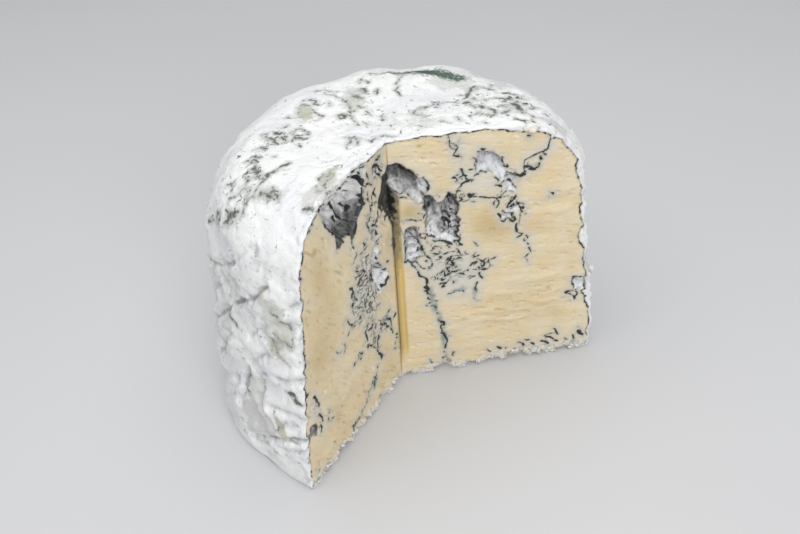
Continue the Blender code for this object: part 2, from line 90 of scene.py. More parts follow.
# Veins on the right cut: width, then the points of the line, as distance from the corner and height
RIGHT_VEINS = (
    (0.5, 20.2, 107.4, 20.2, 105, 20.6, 103.7, 21.6, 103.3, 22.4, 102.4, 23.3, 101.7),
    (0.5, 20.6, 103.5, 21, 101.6, 22.4, 100.6, 23, 101.6), (0.7, 22.8, 101.2, 22.5, 100, 21.6, 99.1),
    (0.7, 21.6, 99.1, 22.1, 98.4, 23.2, 98.2, 24.5, 97.6),
    (0.5, 2, 98.2, 3.2, 98.6, 4.2, 98.2, 5, 97.2, 5.7, 96.1, 7.2, 95.8, 8, 94.6, 8.3, 93.6, 9.3, 93.3),
    (0.5, 8.3, 93.4, 9.3, 91.9, 10.6, 91.5, 11.2, 92),
    (0.7, 11.2, 92, 12.2, 90.4, 13.3, 88.5, 12.8, 86.2), (0.5, 1.5, 87.5, 2.4, 87, 3.8, 86.6),
    (0.3, 4.2, 87, 5.6, 86.3, 7, 84.8, 8, 83, 9.4, 81.7, 10.4, 81.6),
    (0.5, 11.8, 84.5, 13.5, 84.2, 14.4, 83.4, 14.6, 82.3), (0.8, 14.5, 82.7, 14.7, 82.3),
    (0.5, 10.4, 81.6, 11.2, 82, 11.2, 80.6, 10.7, 79, 11.8, 78.7, 13, 77.6, 13.6, 76.6),
    (0.6, 12.6, 81, 13, 80, 13.4, 79.2), (0.5, 15, 82, 15.6, 80.8, 16.3, 80.1, 17, 80.8),
    (0.7, 16, 81, 17.4, 80.7, 18.3, 81.2, 18.8, 82.4, 19.8, 82.8, 20, 84.3),
    (0.4, 20, 84.1, 20.6, 83.5, 22, 83.2), (0.8, 19.8, 80.9, 21, 80, 22.2, 79.1, 23.4, 78.5),
    (0.5, 20, 79.8, 20.8, 78.6, 21.6, 77.7),
    (0.6, 23.4, 78.6, 23.2, 77.6, 22.6, 76, 22.4, 74.6, 22.9, 73.5, 23.8, 72.3, 23.3, 71, 23.4, 70),
    (0.8, 23.4, 70, 22.5, 69.4, 23, 68, 22.2, 66.4, 23, 65, 23.8, 64, 23.3, 62.6, 24, 61),
    (0.5, 23.2, 61, 24.2, 61), (0.5, 22.4, 81.8, 22.8, 80.5, 23.6, 80.2), (0.9, 23.7, 80.3, 24.8, 80.8),
    (0.5, 28, 88.5, 26.6, 88, 25, 87.4, 23.9, 86.2, 22.8, 84.6, 22.4, 83.2, 22.4, 81.5),
    (0.8, 26.4, 88, 24.3, 87.2), (0.9, 21.5, 90.1, 21.9, 90), (0.6, 22, 90, 22.9, 89.5, 23.1, 88.8),
    (0.8, 22.7, 88.4, 23.1, 88.3), (0.4, 22.5, 90.8, 23.6, 91.1),
    (0.6, 24.2, 92.9, 24.7, 92, 25, 91, 25.6, 90.2, 26.2, 89), (0.6, 24.4, 89.3, 24.7, 89.1),
    (0.6, 26.9, 92.4, 28.2, 92.2), (0.4, 25.4, 83.2, 25.7, 82), (1.7, 27.1, 82.3, 27.6, 82),
    (0.4, 27.6, 82.9, 29.5, 82.3),
    (0.6, 28.2, 81.3, 30, 81, 32, 80.5, 33.6, 80, 35, 79.7, 36.5, 79.3, 38.2, 79.3),
    (0.4, 38.2, 79.3, 40, 79.6, 41.2, 79), (0.4, 23.4, 80, 25, 79.9, 27, 80.3), (0.8, 30, 99, 31, 98.5),
    (0.8, 31.2, 99.8, 32.1, 99.5), (0.4, 32.3, 98.5, 33.6, 98.3, 34.8, 97.8),
    (0.5, 34.8, 97.8, 36, 96.8, 37.2, 95.6, 38.2, 94.8), (0.8, 38.4, 95.4, 38.6, 95.1),
    (0.6, 28.3, 96.7, 29.5, 95.4), (0.4, 29.5, 95.4, 30.3, 95.2, 29.6, 94.2, 29.3, 92.6, 29.2, 91.3),
    (0.3, 29.8, 97.6, 30.4, 98.5), (0.6, 38.2, 94.6, 38.5, 93.2, 39.1, 91.6, 40.2, 91.3),
    (0.8, 40, 92.1, 40.3, 91.9), (0.7, 29, 89.5, 30.4, 90),
    (0.4, 30.4, 90, 31.3, 90.7, 32.2, 90.2, 33.8, 90.7, 35, 90.1), (0.3, 40.5, 91, 42, 90, 43.2, 89.4),
    (0.8, 35.7, 88, 37.3, 86.5), (0.9, 36.4, 85, 37.4, 84.5, 38.4, 83.8),
    (0.5, 38.2, 85.3, 39.3, 86.2, 39.6, 87.8, 40.2, 88.8), (0.9, 40.3, 85.8, 40.6, 85.4),
    (0.6, 40.2, 88.8, 41.5, 88.3, 43.2, 88.4), (0.8, 42.2, 87.8, 43, 87.3), (0.8, 41, 85.3, 41.8, 84.5),
    (0.6, 42.4, 83.9, 43.5, 82.5), (0.4, 38.4, 80.3, 39.3, 80.9, 40.1, 81.5),
    (0.5, 41.4, 81.1, 42.6, 80.7), (1.2, 43.6, 87.6, 44.8, 87.3, 46.3, 87.2), (1, 45.4, 88, 46.5, 88.5),
    (0.6, 46.4, 88.6, 45.9, 90, 45.8, 91.4, 46, 92.4, 46.8, 93.4, 48.5, 93.9, 50.5, 94.6, 51.8, 95),
    (1, 46.2, 90.8, 47.6, 90.4, 48.6, 89.6), (1.1, 48, 89.4, 49.9, 88.9),
    (0.8, 50, 89, 51, 89.9, 51.4, 91), (0.6, 51.4, 91, 51.8, 92), (1, 51.8, 92.4, 51.6, 93.6),
    (0.7, 51, 94.8, 52.6, 95.4, 53.8, 96), (0.7, 54, 96.1, 54.3, 98, 54.8, 100),
    (0.8, 53.1, 94.2, 53.5, 94.1), (0.5, 52.5, 94.8, 53, 96), (0.9, 47.2, 102.4, 47.6, 102.2),
    (1.1, 56.7, 78, 57, 77.9), (0.3, 55.6, 78.9, 57, 77.9, 57.3, 76.9), (0.8, 36.7, 79.1, 37.1, 78),
    (0.7, 37.6, 77.8, 37.3, 76.6, 36.9, 75.1), (0.5, 36.2, 78.1, 35.6, 77.2, 35.8, 76.3),
    (0.7, 41.8, 78.4, 43.4, 78.5), (0.9, 43.2, 77.9, 42.2, 76.8),
    (0.8, 41.6, 77.6, 41.2, 76.4, 40.7, 75.2, 41, 74.2), (0.9, 42, 77, 41.7, 76),
    (0.6, 41, 74.1, 42, 74.2, 43.4, 74.4), (0.7, 44, 76.8, 44.4, 76.6), (0.7, 44, 75.8, 44.9, 75.8),
    (0.5, 44.9, 75.8, 46, 75.4, 46.7, 74.8), (0.8, 46.4, 73.8, 46.5, 73.3, 45.6, 73),
    (0.5, 45.6, 73, 45.4, 72.5), (0.6, 39.2, 73.4, 40, 72.4), (0.7, 40, 72.2, 41.2, 71.9, 42.4, 71.6),
    (0.9, 37.6, 72.4, 38, 71.4, 38.2, 70.8), (0.8, 38.8, 69.3, 39.2, 68.6, 40, 69.1),
    (0.6, 40.2, 69.8, 41.4, 69.7), (0.8, 41.6, 69.4, 42.3, 68.6),
    (0.7, 42.5, 69.6, 42.6, 70.8, 42.9, 71.7), (0.7, 43, 70.6, 43.5, 70, 43.8, 68.6),
    (0.9, 44, 67, 44.1, 65.4, 44.4, 63.4), (0.6, 44.6, 63.1, 45.8, 62.4, 46.3, 61.8),
    (0.8, 45.8, 61.2, 44.6, 60.6), (0.4, 45.5, 71.5, 45.4, 70.4, 45.6, 69.4, 45.2, 67.8, 45, 66.6),
    (0.7, 47.2, 70.7, 47.5, 70.6), (0.8, 47.9, 61, 48.7, 60.1), (0.9, 47.3, 59.4, 47.6, 58.6),
    (0.6, 48.4, 57.5, 48.8, 57), (0.8, 49.3, 55.8, 49.5, 54.6, 49.8, 53.2),
    (0.6, 48.9, 52.6, 48.4, 52, 48, 50.9), (0.5, 48.4, 50, 48.9, 48.7),
    (0.6, 28.7, 61.7, 29.4, 60.8, 29.9, 59.7), (0.6, 33, 53, 31.8, 52.1, 32.6, 51.2, 32.5, 49.8),
    (0.6, 34.5, 52.1, 35.8, 52.6, 36.8, 53.4), (0.6, 33.4, 51.8, 34.5, 50.6, 34.8, 49.6),
    (0.5, 34.8, 49.4, 34.4, 48.4, 32.6, 48.2, 30.6, 48.4, 28.4, 48.8),
    (0.9, 30.9, 46.9, 31.2, 45.4, 32.1, 44), (0.7, 23.5, 48.2, 24.6, 47.7, 25.2, 47.1),
    (0.6, 27.2, 44.8, 28.2, 45.5, 29.1, 45.6), (0.4, 4.6, 75.4, 6, 75, 7.4, 75),
    (0.6, 7.8, 74.6, 8.6, 74.1, 10, 74.5), (0.5, 6.8, 75.3, 7.9, 74.9), (0.6, 9.3, 77.5, 9.6, 77.3),
    (0.4, 1, 74.6, 2, 73, 3, 71, 3.4, 69.6), (0.4, 0.9, 73.6, 1, 71.6, 2.2, 70.2),
    (0.7, 4.4, 70.2, 4.9, 71.4, 6, 72.1), (0.5, 6, 72.1, 7, 72.2, 8.3, 71.8), (0.8, 8, 69.4, 8.3, 68.9),
    (0.4, 4.9, 69.4, 6.2, 68.3, 6.9, 67.2, 6.6, 66.5, 5, 66.5),
    (0.5, 8.2, 65.4, 9.6, 65, 9.8, 63.4, 9.5, 62.2),
    (0.6, 9.8, 62, 10.5, 60.6, 11, 58.8, 12, 57.9, 12.9, 56.9, 13.3, 55.6),
    (0.7, 13.5, 54.6, 13.2, 53.4, 12, 52.9), (0.5, 3.9, 69, 3.8, 66, 4, 64),
    (0.7, 4, 63.4, 4.1, 62, 3.9, 60.6), (0.5, 3.9, 60, 3.7, 58, 3.5, 57), (0.9, 3.5, 57.1, 3.9, 56.9),
    (0.6, 4.5, 57.3, 5.6, 56.8, 6.8, 56.2, 8, 55.8), (0.5, 8, 56.6, 8.2, 55.1, 9, 54, 10, 53),
    (0.7, 9.9, 53, 10.8, 52.8), (0.9, 11.2, 56.3, 11.5, 56), (0.4, 8, 57.6, 9, 58.6, 10, 58.8),
    (0.6, 9.4, 68.6, 9.6, 67.2), (0.7, 9.8, 67, 10.9, 66.8, 11.5, 66.4, 11.6, 67.2),
    (0.5, 10.2, 68.8, 11.8, 68.3, 12.3, 67.4), (0.5, 12.3, 67.4, 13.6, 67.2, 14.8, 66),
    (0.8, 13.8, 65, 14.8, 64.4, 16, 64.6, 17.2, 64.2),
    (0.9, 17.2, 64.2, 18.5, 63.5, 19.3, 62.8, 20.4, 62.4), (0.5, 20.8, 62.9, 21.8, 62.6, 22.6, 61.7),
    (0.5, 18.3, 75.6, 18.2, 73.8, 18.2, 72, 18.6, 70.6),
    (0.6, 18.4, 73.7, 19.6, 73.6, 20.3, 72.8, 20.4, 70.8), (1.3, 18.6, 71, 20.2, 70.6),
    (0.8, 18.8, 70.4, 18.6, 69.2, 19.4, 68.4), (0.6, 20.2, 70, 20.4, 69, 19.8, 67.6),
    (0.6, 18, 68, 18.4, 67.4), (0.7, 21, 69, 21.3, 68.2), (0.6, 20.2, 77.4, 20.8, 76.4, 21.6, 75.4),
    (0.5, 20.4, 74.3, 22, 74.4), (0.6, 21.6, 70.8, 22.4, 71), (0.4, 22.2, 60.2, 23.4, 59, 23.7, 57.6),
    (0.4, 19.2, 58.9, 21.4, 58.6), (0.4, 13.3, 59.4, 15.5, 58.8), (0.6, 16.8, 56.5, 15.8, 56, 15, 55.7),
    (0.5, 21.2, 56.8, 23, 56.7, 24.6, 56.5), (0.5, 18.8, 55.5, 19.9, 55.7, 21.4, 55.2),
    (0.7, 20, 52.9, 21.3, 53, 21.4, 53.6, 20.4, 54.1), (0.7, 17.6, 50.4, 18.1, 49, 18, 47.8),
    (0.6, 19.5, 50.4, 19, 49.4, 19.2, 48.2), (0.8, 20.6, 49.4, 22.4, 49.1),
    (0.6, 17, 47.6, 16.6, 46.4, 17.4, 45.9, 17.9, 46.8), (0.9, 16, 44.4, 17, 44.6, 18.2, 44.4),
    (0.8, 17.6, 44, 16.8, 42.9, 17.8, 43), (0.4, 5.6, 56.4, 6.4, 55.2, 7.2, 53.8, 8, 52),
    (0.8, 8.1, 52, 8.3, 50.4, 9, 49.6), (0.6, 9, 49.6, 10.4, 49.1, 11, 47.8),
    (1, 11, 47.8, 11.4, 46.4, 11.2, 44), (1.2, 10.4, 44, 11.3, 43.6), (1, 11.3, 43.4, 11.4, 41),
    (1, 10.4, 42.4, 11, 42.2), (0.8, 12.2, 40.5, 12.4, 40.2), (0.9, 11.2, 38.8, 11.4, 38.5),
    (0.5, 12.3, 38, 12.6, 37.7), (0.8, 11.8, 36.3, 12.2, 36.2),
    (0.6, 12.6, 34.3, 13.6, 34.6, 14.1, 33.6, 14.2, 32.5), (0.7, 14.6, 30.6, 15, 30.2),
    (0.6, 15.3, 26.9, 15.7, 25.9), (1.2, 16.3, 25.8, 17, 25.4, 17.2, 24.2),
    (0.7, 15.9, 25, 16, 22.8, 16.5, 20.8), (1, 16, 20, 16.6, 20, 17, 18.6),
    (0.8, 17.2, 18.4, 17.9, 17.4, 18.3, 16.2), (0.9, 18.3, 16.2, 18.1, 14.6, 17.5, 13, 17.3, 11.7),
    (0.7, 16.9, 9.6, 17.1, 9.3), (0.6, 20.3, 9.1, 20.4, 6.5), (0.5, 11.3, 6.7, 11.6, 5, 12.1, 4.2),
    (0.8, 16.2, 6.3, 18, 6.1), (0.6, 19.2, 39, 20.2, 39.1, 21.2, 39.9, 22, 40.2),
    (0.5, 22, 40.2, 23.4, 39.7), (0.6, 24.4, 40, 24.8, 39.1), (0.6, 29.9, 42.4, 29.8, 40.6),
    (0.6, 29.3, 40.2, 29.3, 39, 29.8, 38), (0.5, 28.8, 35, 29.4, 34), (0.6, 34.3, 7.2, 35.6, 5.2),
    (1, 38.4, 7.6, 39.3, 6.8, 40, 6.2), (0.6, 41.8, 6.2, 42, 5.8), (0.6, 46.6, 8, 48.3, 7.6),
    (1.1, 48.8, 6.9, 49, 5.8), (0.6, 49.6, 8.6, 51.8, 8.2), (1.1, 52.6, 6.6, 53.3, 5.7),
    (1.1, 56.6, 6.8, 58, 6, 59.2, 4.9), (0.6, 57.6, 9.2, 59, 10.2, 61.2, 9.9),
    (1.1, 58.8, 8.5, 60.2, 8.1, 61.1, 7), (0.9, 61.4, 12.3, 62.3, 11, 62.8, 9.4), (1, 62, 5.9, 63.2, 5.1),
    (0.7, 66.1, 6.3, 67, 5.1), (0.9, 69.3, 7.3, 69.8, 5.6), (1.3, 71.3, 9, 72, 8.2, 73.4, 6.8),
    (0.6, 72.3, 10.2, 72.8, 8.6), (1.1, 67.4, 37.9, 68.4, 37.9, 69.4, 37.3, 70.3, 37),
    (0.7, 67.6, 37.4, 67.1, 36.2, 67, 34.6), (0.8, 67, 34.6, 67.6, 33.5, 67.9, 32.1),
    (1, 64.8, 30.3, 66.2, 30.9), (0.5, 66.2, 30.9, 68.2, 30.8, 69.6, 31.1),
    (0.7, 65.1, 29.9, 66.8, 29.3, 68, 28.2), (1, 68.2, 28, 68.4, 26.8),
    (0.7, 68.8, 27.8, 69.5, 28.8, 69.1, 30), (0.8, 71.8, 28.6, 73, 26.8), (0.6, 3.2, 85.2, 5.4, 84.8),
    (0.3, 0.2, 91, 0.5, 89, 1.2, 87.8), (0.6, 71.6, 47.2, 71.4, 45.4, 71.8, 43.6),
    (0.7, 72, 45, 72.6, 44.4), (0.6, 12, 76.9, 11.4, 76.5, 11.1, 75.9, 11, 75.3),
    (0.9, 14, 77.8, 14.1, 77.1), (0.7, 13.2, 69.1, 13.4, 68.8), (0.6, 11.5, 69.8, 11.7, 69.5),
    (0.5, 20.6, 68.7, 20.1, 67.7), (0.5, 18.7, 68.7, 18, 68.1, 17.5, 67.9), (0.6, 20.8, 76, 21.5, 76.2),
    (0.6, 22.1, 70.8, 22.7, 71.2, 23.2, 71.3), (0.6, 21.9, 68.6, 22.6, 69, 23, 68.8),
    (0.5, 22.2, 65.6, 22.7, 64.9), (0.5, 7, 66.4, 7.8, 65.6, 8.7, 65.4),
    (0.4, 9.4, 64.7, 8.4, 64.4, 7.8, 63.8, 6.8, 63.8), (0.7, 8.2, 61, 8.9, 61),
    (0.4, 5.5, 70.8, 6.3, 70.4, 7.1, 70.7), (0.4, 5.6, 69.7, 6.5, 69.8, 7.2, 70.1),
    (0.9, 17.9, 58.4, 18.6, 58.5), (0.8, 16.2, 57.4, 16.5, 57.1), (1, 18.9, 82.6, 19.2, 82.8),
    (0.5, 22.5, 59.4, 23.3, 58.6, 23.7, 57.4), (0.6, 23, 56, 23.8, 54.8), (0.5, 3.4, 75.1, 3.8, 74.5),
    (0.7, 16.3, 83.3, 16.5, 83.2),
)
# Zones of short flecks and small rings between the veins: place, half-axes, slant in degrees, count
RIGHT_NETS = (
    (23, 50.5, 12, 6.5, 10, 46), (15, 61, 7, 3.4, 20, 10), (42.5, 73.5, 3.4, 4.6, -40, 6),
    (24, 86, 3.6, 5, 30, 5),
)
LEFT_NETS = (
    (18.6, 60, 5, 18, 75, 40), (17, 38, 5.6, 6, 62, 16), (10, 64, 3, 12, 80, 10), (11, 92, 6, 7, 70, 8),
)
# The dark line where the rind begins on the right cut; beyond it the face is white
RIGHT_RIM = (
    0, 107.3, 3, 108, 10, 108.9, 20, 107.8, 24, 107.6, 26.8, 108, 28.5, 107.4, 30.5, 106.9, 32.2, 107.2,
    34, 106.9, 36, 106.1, 38.5, 106.1, 40, 105.4, 42, 104.9, 46, 104.3, 49, 103.7, 51.5, 103.1,
    53.5, 102.2, 54.6, 101.3, 55, 100.1, 56.3, 100.1, 57.5, 100.8, 58.5, 101.2, 59.6, 100.7, 60.8, 99.5,
    62, 97.8, 63, 95, 65, 91, 64.2, 87.5, 66, 82, 67.5, 78, 69, 74, 67.2, 70, 68, 65, 69.4, 62,
    67.6, 58.5, 68, 56, 68.2, 54.2, 69.4, 53, 70.2, 51, 71.2, 49.8, 71.5, 47.5, 71.6, 45.6, 72.6, 43,
    73.2, 40, 72.2, 37.6, 72.4, 31, 71.2, 30.2, 72.2, 28, 72.4, 26, 73.2, 24, 74, 22, 74.7, 20.5,
    75, 18.5, 75.5, 14, 75.5, 9, 76, 4, 76, 0,
)
# The same on the left cut
LEFT_VEINS = (
    (0.7, 0.6, 107.9, 1.6, 108.3), (0.9, 4.2, 104.6, 5.5, 104.2, 7, 104.7), (1.4, 8.6, 103.3, 7.4, 102.8),
    (0.8, 7.4, 102.8, 6, 101.8, 5, 100, 3.8, 98.8), (0.6, 7.6, 101.2, 7.2, 99.8, 6, 98.8),
    (0.8, 6, 98.8, 5, 97.6, 4.6, 96.6), (0.9, 13, 103, 12.2, 101.6), (0.5, 12.2, 101.6, 11.6, 100.2),
    (0.7, 13.2, 99.5, 12, 98.6, 10.4, 97.2), (1, 13.6, 105.8, 15.2, 105.9),
    (0.8, 15, 105.4, 14.8, 103.6, 15, 102), (1.1, 15, 102, 14.9, 100.2),
    (0.6, 14.9, 100, 14, 99, 13, 98.4), (1, 15.5, 98.8, 16, 97, 16.4, 95.4),
    (1.1, 16.3, 95.2, 15.8, 93.8, 14.9, 92.5), (0.9, 16, 92.4, 17.4, 91.4, 18.8, 90.2),
    (1.4, 18.8, 92.8, 20.4, 92.6), (0.8, 21.8, 95.4, 20.8, 94.3), (1, 8.6, 94.5, 9.2, 93.3, 8.5, 91.8),
    (0.5, 8.5, 91.8, 7.8, 90.6), (0.6, 12.6, 93.4, 12.2, 91.4), (0.8, 11.9, 90, 11.6, 88.7),
    (1.3, 0.8, 94.6, 1.8, 93.2, 3.4, 92.3), (1, 3.4, 92.3, 4.9, 91.4), (1.2, 5, 90, 6, 89, 7, 88.6),
    (1, 4, 87.4, 5.6, 86.4), (1.2, 5.4, 86.3, 7.4, 86.8), (0.9, 2.2, 86.2, 3.6, 84.9),
    (0.8, 5.6, 84.4, 5.8, 83.6), (0.8, 8, 85.4, 8.4, 83.4, 9, 81.5), (0.9, 9, 81.4, 10, 80.9, 11.6, 81.7),
    (1, 12.8, 85.7, 13.2, 85.1), (0.9, 14.5, 84.6, 13.9, 83, 13.4, 81.9),
    (0.9, 20.6, 88.5, 21.2, 86.7, 22.4, 85), (0.9, 23.5, 84.2, 23.7, 82.6), (0.8, 23.8, 81.4, 22.8, 80.4),
    (0.6, 23.6, 84.2, 24.4, 86.4), (1.1, 24.6, 87, 25.6, 87.7, 27, 87.6), (0.6, 27, 87.6, 28.2, 87.5),
    (1.1, 25.7, 98.4, 25.4, 96.4, 25, 94.4), (1, 25, 94.4, 24.8, 93),
    (0.7, 24.4, 92.2, 23.6, 90.8, 22.4, 90), (1, 26.2, 98, 27.6, 98.6), (0.9, 27, 94, 26.5, 92.2),
    (0.8, 22.6, 90.2, 21, 89.4), (0.6, 27.8, 103.8, 27, 102.6), (1, 38.2, 105, 37.5, 103.4, 37, 101.8),
    (1.2, 37, 101.6, 36.7, 99.6, 36.1, 97.6), (1.1, 36.1, 97.4, 34.9, 95.8, 34.1, 94.6),
    (1.2, 33.8, 93.6, 32.2, 92.8), (1.2, 31.6, 92.4, 30.4, 91), (1, 31.3, 90.6, 31.6, 88.4, 31.9, 86.6),
    (0.8, 30.4, 92.4, 31.4, 94.2), (0.7, 29.4, 90, 28.8, 88, 28.6, 86.8),
    (1.1, 30.6, 98.6, 32, 98, 33, 98.6), (0.8, 33, 96.6, 34.6, 97.4), (1, 42.6, 103.3, 44.2, 103.8),
    (0.9, 50.6, 87.8, 51.3, 88.2), (0.8, 53.2, 86.8, 54, 85.4), (0.5, 50.8, 88, 53, 87.4),
    (0.9, 2.6, 80.7, 4.4, 79.5), (0.8, 0.3, 69.6, 1, 68.7), (0.6, 0.4, 66.2, 1.7, 66.8),
    (0.5, 0.2, 63.6, 0.5, 62.2), (0.9, 9.6, 78.3, 9.8, 76.8), (0.6, 8.2, 79.2, 9.4, 80.2),
    (1, 17.7, 78.9, 16.7, 77.5), (0.7, 16, 76.4, 17.6, 76),
    (0.5, 22.4, 78.4, 22.2, 76.8, 23.6, 76, 24.2, 74.8), (0.9, 19.4, 68.6, 18.7, 67.2),
    (0.8, 8, 68.2, 8.8, 68.2), (0.7, 22.2, 68.2, 23.2, 68.6, 24.4, 68.3), (1, 19.8, 66.6, 21.4, 66.5),
    (1, 21.4, 66.4, 22.8, 65.6), (0.7, 17.4, 64.8, 18.8, 65.7), (1.1, 27.6, 66.8, 26.4, 65.6, 26.1, 64),
    (1.1, 26.8, 64, 27.2, 62.4), (0.8, 25.8, 63.4, 25.7, 61.4, 24.8, 59.8), (0.9, 26.3, 59.4, 26.8, 58),
    (0.5, 26.8, 56.4, 27.2, 55.8), (1.1, 15, 64, 15.6, 62.8, 16.1, 61.8),
    (0.6, 17, 59.4, 17.4, 58, 17.9, 56.6), (0.9, 17.5, 53, 17.6, 51.2),
    (0.6, 14.4, 64, 14.6, 61.6, 14.2, 60.1), (0.5, 12.4, 57, 12.6, 55, 13, 53),
    (1.2, 5, 54.8, 6, 54.3, 7, 53.9), (1.1, 6.8, 53.7, 7.6, 53.2, 9, 53.9), (1.1, 6.1, 59.2, 6.8, 59.6),
    (0.6, 5.8, 57.6, 6.8, 56.8), (0.6, 8.6, 60.6, 9.6, 62.2), (0.7, 9, 63.6, 10, 64.8),
    (1, 4.4, 61.5, 5, 61.9), (0.6, 19.9, 58.2, 21.4, 57.8), (0.6, 20.6, 54.6, 20.2, 53),
    (0.9, 23.4, 51.2, 24.8, 51.4), (0.8, 27.1, 49.8, 27.5, 49.4), (0.9, 30.9, 55, 30.6, 53.8),
    (0.7, 30.4, 53.4, 29.2, 52), (1, 28.9, 51.6, 28.7, 50.8), (0.5, 26.4, 51.8, 27.4, 50.8),
    (0.7, 11.6, 47.6, 12.6, 48, 13.6, 47.8), (0.6, 20.9, 44.4, 20.2, 43), (0.6, 18.6, 41.6, 17.6, 40.4),
    (0.7, 20.7, 42.4, 21.1, 40.4), (1, 21.1, 40, 20.9, 38.2), (1.4, 6, 39.2, 6.5, 39.1),
    (0.6, 11.8, 37.6, 10.8, 36.5, 9.8, 36), (0.8, 9.6, 36, 8.5, 35.2, 7.8, 34.4),
    (0.8, 6.6, 37.4, 7.2, 37.9), (1, 8.3, 33.8, 7.4, 33.2, 6.6, 32.7),
    (0.8, 6.2, 35.7, 5.2, 34.6, 4.2, 32.8), (0.7, 5.2, 33, 4.9, 31.8, 5, 30.9),
    (0.8, 5.9, 30.8, 5.4, 29.6), (0.7, 5.4, 29.4, 4.9, 27.8), (1.3, 2, 34.9, 2.4, 34),
    (1, 1.8, 24.7, 2.9, 25.5), (0.7, 1.6, 22.4, 3, 23.4), (0.7, 3, 21.4, 3.3, 20.8),
    (0.5, 2.5, 17.5, 3.7, 18.9), (1, 13.8, 33.6, 13.8, 32.4, 14.2, 31.2), (0.9, 14.4, 30.2, 15, 28.8),
    (0.6, 17.6, 31.7, 16.8, 30.4, 16, 29.2), (0.9, 15.8, 28.2, 15, 27, 14.6, 25.6),
    (1.2, 14.2, 25.2, 13.6, 24.2, 13.1, 23), (1.1, 13, 22.6, 13.1, 21.5),
    (0.9, 18.5, 32.4, 19.2, 33.4, 20, 34), (0.7, 20, 34, 20.9, 33.7), (0.6, 16.2, 33, 17.9, 32.9),
    (1, 24.6, 34.7, 25.6, 35.1), (0.8, 25.6, 35.1, 26.3, 36.1), (0.8, 25.8, 33.2, 26.4, 33.4),
    (0.6, 27.6, 34.9, 28, 34.7), (0.9, 29.8, 34.2, 29.9, 33.2), (1, 16.1, 19.9, 16.5, 19.7),
    (0.6, 17.3, 18.3, 18, 17.4), (0.9, 18.2, 17, 18.8, 16.2), (1, 18.1, 15, 18.4, 14.4),
    (1.3, 19, 13.8, 19.1, 12.8), (0.8, 20.1, 15.5, 20.4, 15.2), (0.6, 21.2, 14.9, 22.4, 13.6, 23.4, 12.2),
    (0.8, 24.4, 10.6, 25.4, 9.4), (0.7, 26.4, 8.3, 27.6, 7.6, 29, 6.9), (0.8, 30.4, 6.3, 31.4, 6.2),
    (0.6, 33, 6.2, 33.8, 5.4), (0.8, 34.5, 6, 35.4, 4), (0.6, 30.4, 49.9, 31.6, 49),
    (0.6, 33.9, 46.9, 34.1, 45.8), (0.5, 34.3, 45, 34.9, 43.6), (0.4, 37.8, 45.8, 38.7, 47.3),
    (1, 53.6, 39.5, 52.8, 38.2), (1.1, 52.6, 37.6, 52.3, 36.6), (0.8, 52.2, 36.2, 51.7, 34.6, 51.4, 33),
    (0.8, 52.2, 30, 51.9, 28.6), (0.8, 51.9, 28.4, 51.1, 27.8), (0.8, 51.3, 27.2, 51.2, 25.4),
    (0.9, 52.5, 24.4, 51.8, 23.1), (0.9, 52.2, 22.9, 52.9, 22), (0.9, 45.5, 21.6, 46.2, 22),
    (0.5, 47.7, 22, 48.2, 24.2), (0.7, 47, 26.4, 47.3, 26), (1, 55.2, 56.2, 55.6, 55),
    (0.6, 56, 53.6, 57.3, 52), (0.9, 57.4, 47.4, 57.6, 46.8), (1.5, 56.6, 43.4, 57.8, 43.6),
    (0.5, 57, 5.8, 57.4, 5),
)
LEFT_RIM = (
    0, 107.6, 4, 106.8, 8, 107.2, 13, 107.2, 20, 106.8, 27, 105.6, 34, 104.8, 38, 105.4, 41, 104.2,
    44, 103.9, 45.6, 103, 46.4, 100.6, 47.4, 98, 48.4, 96, 49.8, 94, 51, 92, 51.6, 89, 53, 87, 53.8, 84,
    53.2, 80, 53.4, 75, 53.6, 69, 54.6, 63, 54.8, 57.4, 55.6, 55, 56.4, 53, 57.4, 51.6, 57.6, 48,
    57.4, 45, 58.4, 42.6, 59.6, 40.4, 60.1, 37.6, 60, 34, 59.7, 32, 60, 28, 60.4, 25, 61, 21.5, 61, 18,
    61.3, 15, 61, 12, 62, 9, 61.7, 4, 62, 0,
)

